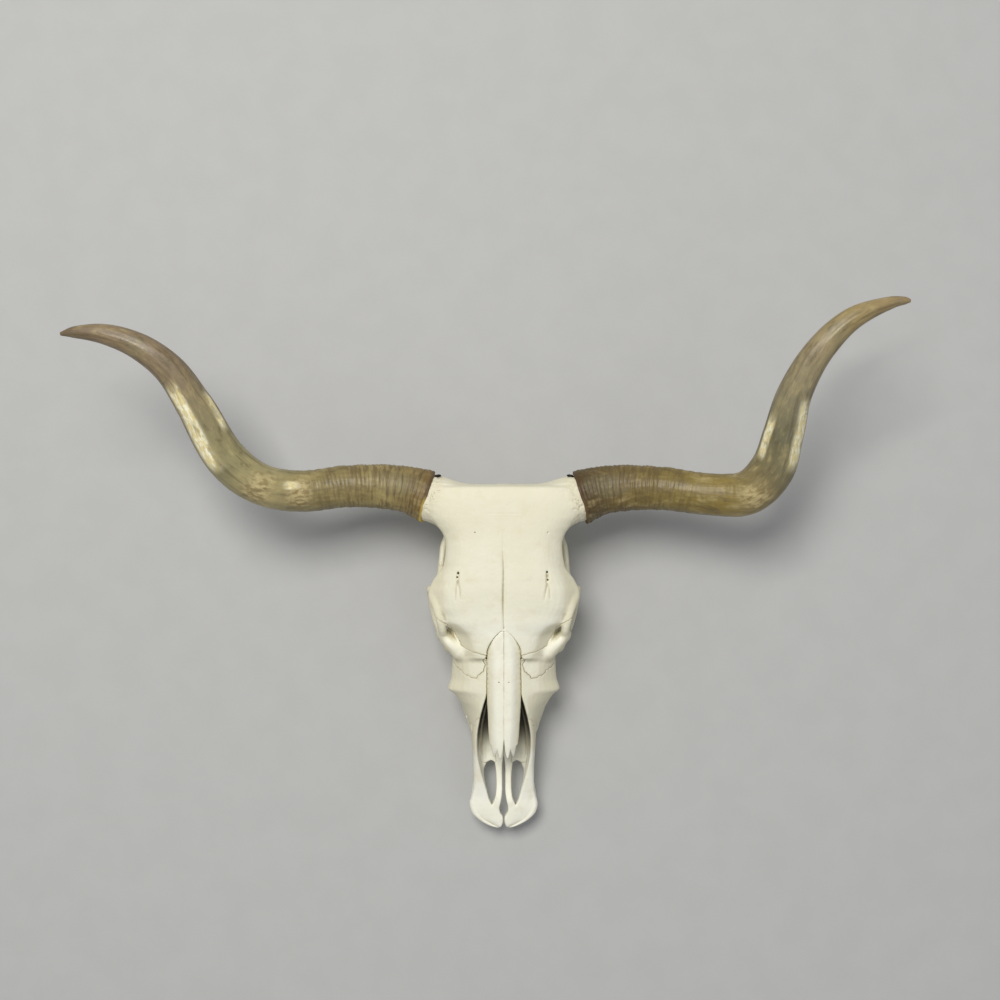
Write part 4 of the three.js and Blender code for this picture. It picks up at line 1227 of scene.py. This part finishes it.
def horn_paint(side):
    paint = Paint("keratin_" + side, 0.4, 0.5)
    along = paint.value("along")
    paint.colour = paint.along(paint.value("reach"), KERATIN[side])
    paint.use_grain("grain", 18)
    fibre = paint.clouds(2.6, 5, 0.65)
    streak = paint.clouds(8, 4, 0.6)
    paint.use_grain("grain", 2.2)
    blotch = paint.clouds(13, 5, 0.62)
    mottle = paint.clouds(5, 3, 0.6)
    cloud = paint.clouds(42, 2)
    paint.use_grain("grain", 0.16)
    band = paint.clouds(34, 3, 0.55)
    outer = paint.ramp(along, 60, 300, 0.2, 1)
    paint.coat(paint.ramp(blotch, 0.5, 0.74, 0, 0.5), (190, 172, 120))
    paint.coat(paint.ramp(blotch, 0.49, 0.3, 0, 0.55), (90, 76, 46))
    paint.coat(paint.ramp(cloud, 0.5, 0.7, 0, 0.45), (110, 106, 80))
    paint.coat(paint.ramp(mottle, 0.5, 0.75, 0, 0.25), (174, 156, 106))
    paint.coat(paint.times(paint.ramp(streak, 0.5, 0.72, 0, 0.5), outer), (80, 68, 42))
    banded = paint.times(paint.ramp(band, 0.46, 0.62), paint.ramp(along, 260, 60, 0, 0.6))
    paint.coat(banded, (84, 66, 36))
    flaky = paint.mix(paint.ramp(mottle, 0.42, 0.6), (200, 182, 132), (140, 121, 78))
    paint.coat(paint.times(paint.value("scaly"), 0.65), flaky)
    broken = paint.times(paint.ramp(streak, 0.28, 0.46), paint.ramp(blotch, 0.64, 0.5, 0.3, 1))
    creamy = paint.times(paint.value("cream"), paint.times(broken, CREAM_SHARE[side]))
    ivory = paint.mix(paint.ramp(mottle, 0.36, 0.58), (255, 250, 218), (232, 216, 160))
    paint.coat(creamy, ivory)
    paint.coat(paint.ramp(along, 7, 1.5, 0, 0.75), (78, 56, 28))
    paint.coat(paint.value("fringe"), (206, 178, 84))
    paint.coat(paint.times(paint.ramp(fibre, 0.52, 0.8, 0, 0.5), outer), (74, 62, 38))
    rings = paint.times(band, paint.ramp(along, 340, 60, 0.2, 1.5))
    height = paint.plus(paint.plus(paint.times(fibre, outer), rings), paint.times(blotch, 0.7))
    rough = paint.plus(paint.ramp(streak, 0.3, 0.7, 0.3, 0.48), paint.ramp(along, 240, 0, 0, 0.14))
    rough = paint.plus(rough, paint.times(paint.value("scaly"), 0.15))
    return paint.finish(rough, height, 0.7)


def screw_paint():
    paint = Paint("black_steel", 0.45, 0.5)
    paint.shader.inputs["Metallic"].default_value = 0.7
    paint.colour = paint.mix(paint.ramp(paint.clouds(2, 3), 0.4, 0.7), (26, 25, 23), (48, 45, 40))
    return paint.finish(paint.ramp(paint.clouds(1.2), 0.3, 0.7, 0.35, 0.6), paint.clouds(0.6), 0.05)


def floor_paint():
    paint = Paint("studio_floor", 0.85, 0.3)
    paint.colour = paint.mix(paint.ramp(paint.clouds(60, 4), 0.35, 0.65), (184, 184, 182), (182, 182, 180))
    return paint.finish(0.85, paint.clouds(4, 2), 0.1)


# ---------------------------------------------------------------- stage, lights and camera
CAMERA = {"height": 2.4, "x": -0.0059, "s": 0.0222, "lens": 54, "sensor": 36}
LIGHTS = {  # place, size, power and colour
    "key": ((-0.8, 1.7, 4.3), 1.8, 167, (1, 0.985, 0.95)),
    "fill": ((2.6, -2.4, 2.6), 2.6, 12, (0.95, 0.97, 1)),
}
LIGHTS_AIM = (0, 0, 0.1)
SKY = {"colour": (0.93, 0.95, 1, 1), "strength": 0.35}
FLOOR_HALF = 40


def area_light(name, place, size, power, colour):
    light = bpy.data.lights.new(name, "AREA")
    light.size = size
    light.energy = power
    light.color = colour
    made = bpy.data.objects.new(name, light)
    made.location = place
    made.rotation_euler = (Vector(LIGHTS_AIM) - Vector(place)).to_track_quat("-Z", "Y").to_euler()
    bpy.context.scene.collection.objects.link(made)


def make_camera():
    """Straight down over the skull, with the poll towards the top of the picture."""
    camera = bpy.data.cameras.new("camera")
    camera.lens = CAMERA["lens"]
    camera.sensor_width = CAMERA["sensor"]
    made = bpy.data.objects.new("camera", camera)
    made.location = (MIDLINE_X + CAMERA["x"], POLL_Y - CAMERA["s"], CAMERA["height"])
    bpy.context.scene.collection.objects.link(made)
    bpy.context.scene.camera = made


def make_stage():
    mesh = bpy.data.meshes.new("floor")
    corners = [(x * FLOOR_HALF, y * FLOOR_HALF, 0) for x, y in ((-1, -1), (1, -1), (1, 1), (-1, 1))]
    mesh.from_pydata(corners, [], [(0, 1, 2, 3)])
    mesh.materials.append(floor_paint())
    floor = bpy.data.objects.new("floor", mesh)
    bpy.context.scene.collection.objects.link(floor)
    for name, light in LIGHTS.items():
        area_light(name, *light)
    world = bpy.data.worlds.new("studio")
    world.use_nodes = True
    background = world.node_tree.nodes["Background"]
    background.inputs["Color"].default_value = SKY["colour"]
    background.inputs["Strength"].default_value = SKY["strength"]
    bpy.context.scene.world = world
    bpy.context.scene.view_settings.view_transform = "Standard"


make_camera()
make_stage()
dry_bone = bone_paint()
make_bones(dry_bone)
make_nasals(dry_bone)
make_teeth(tooth_paint())
make_horn("left", HORN_LEFT, horn_paint("left"))
make_horn("right", HORN_RIGHT, horn_paint("right"))
black_steel = screw_paint()
for screw_side in ("left", "right"):
    make_screw(screw_side, black_steel)
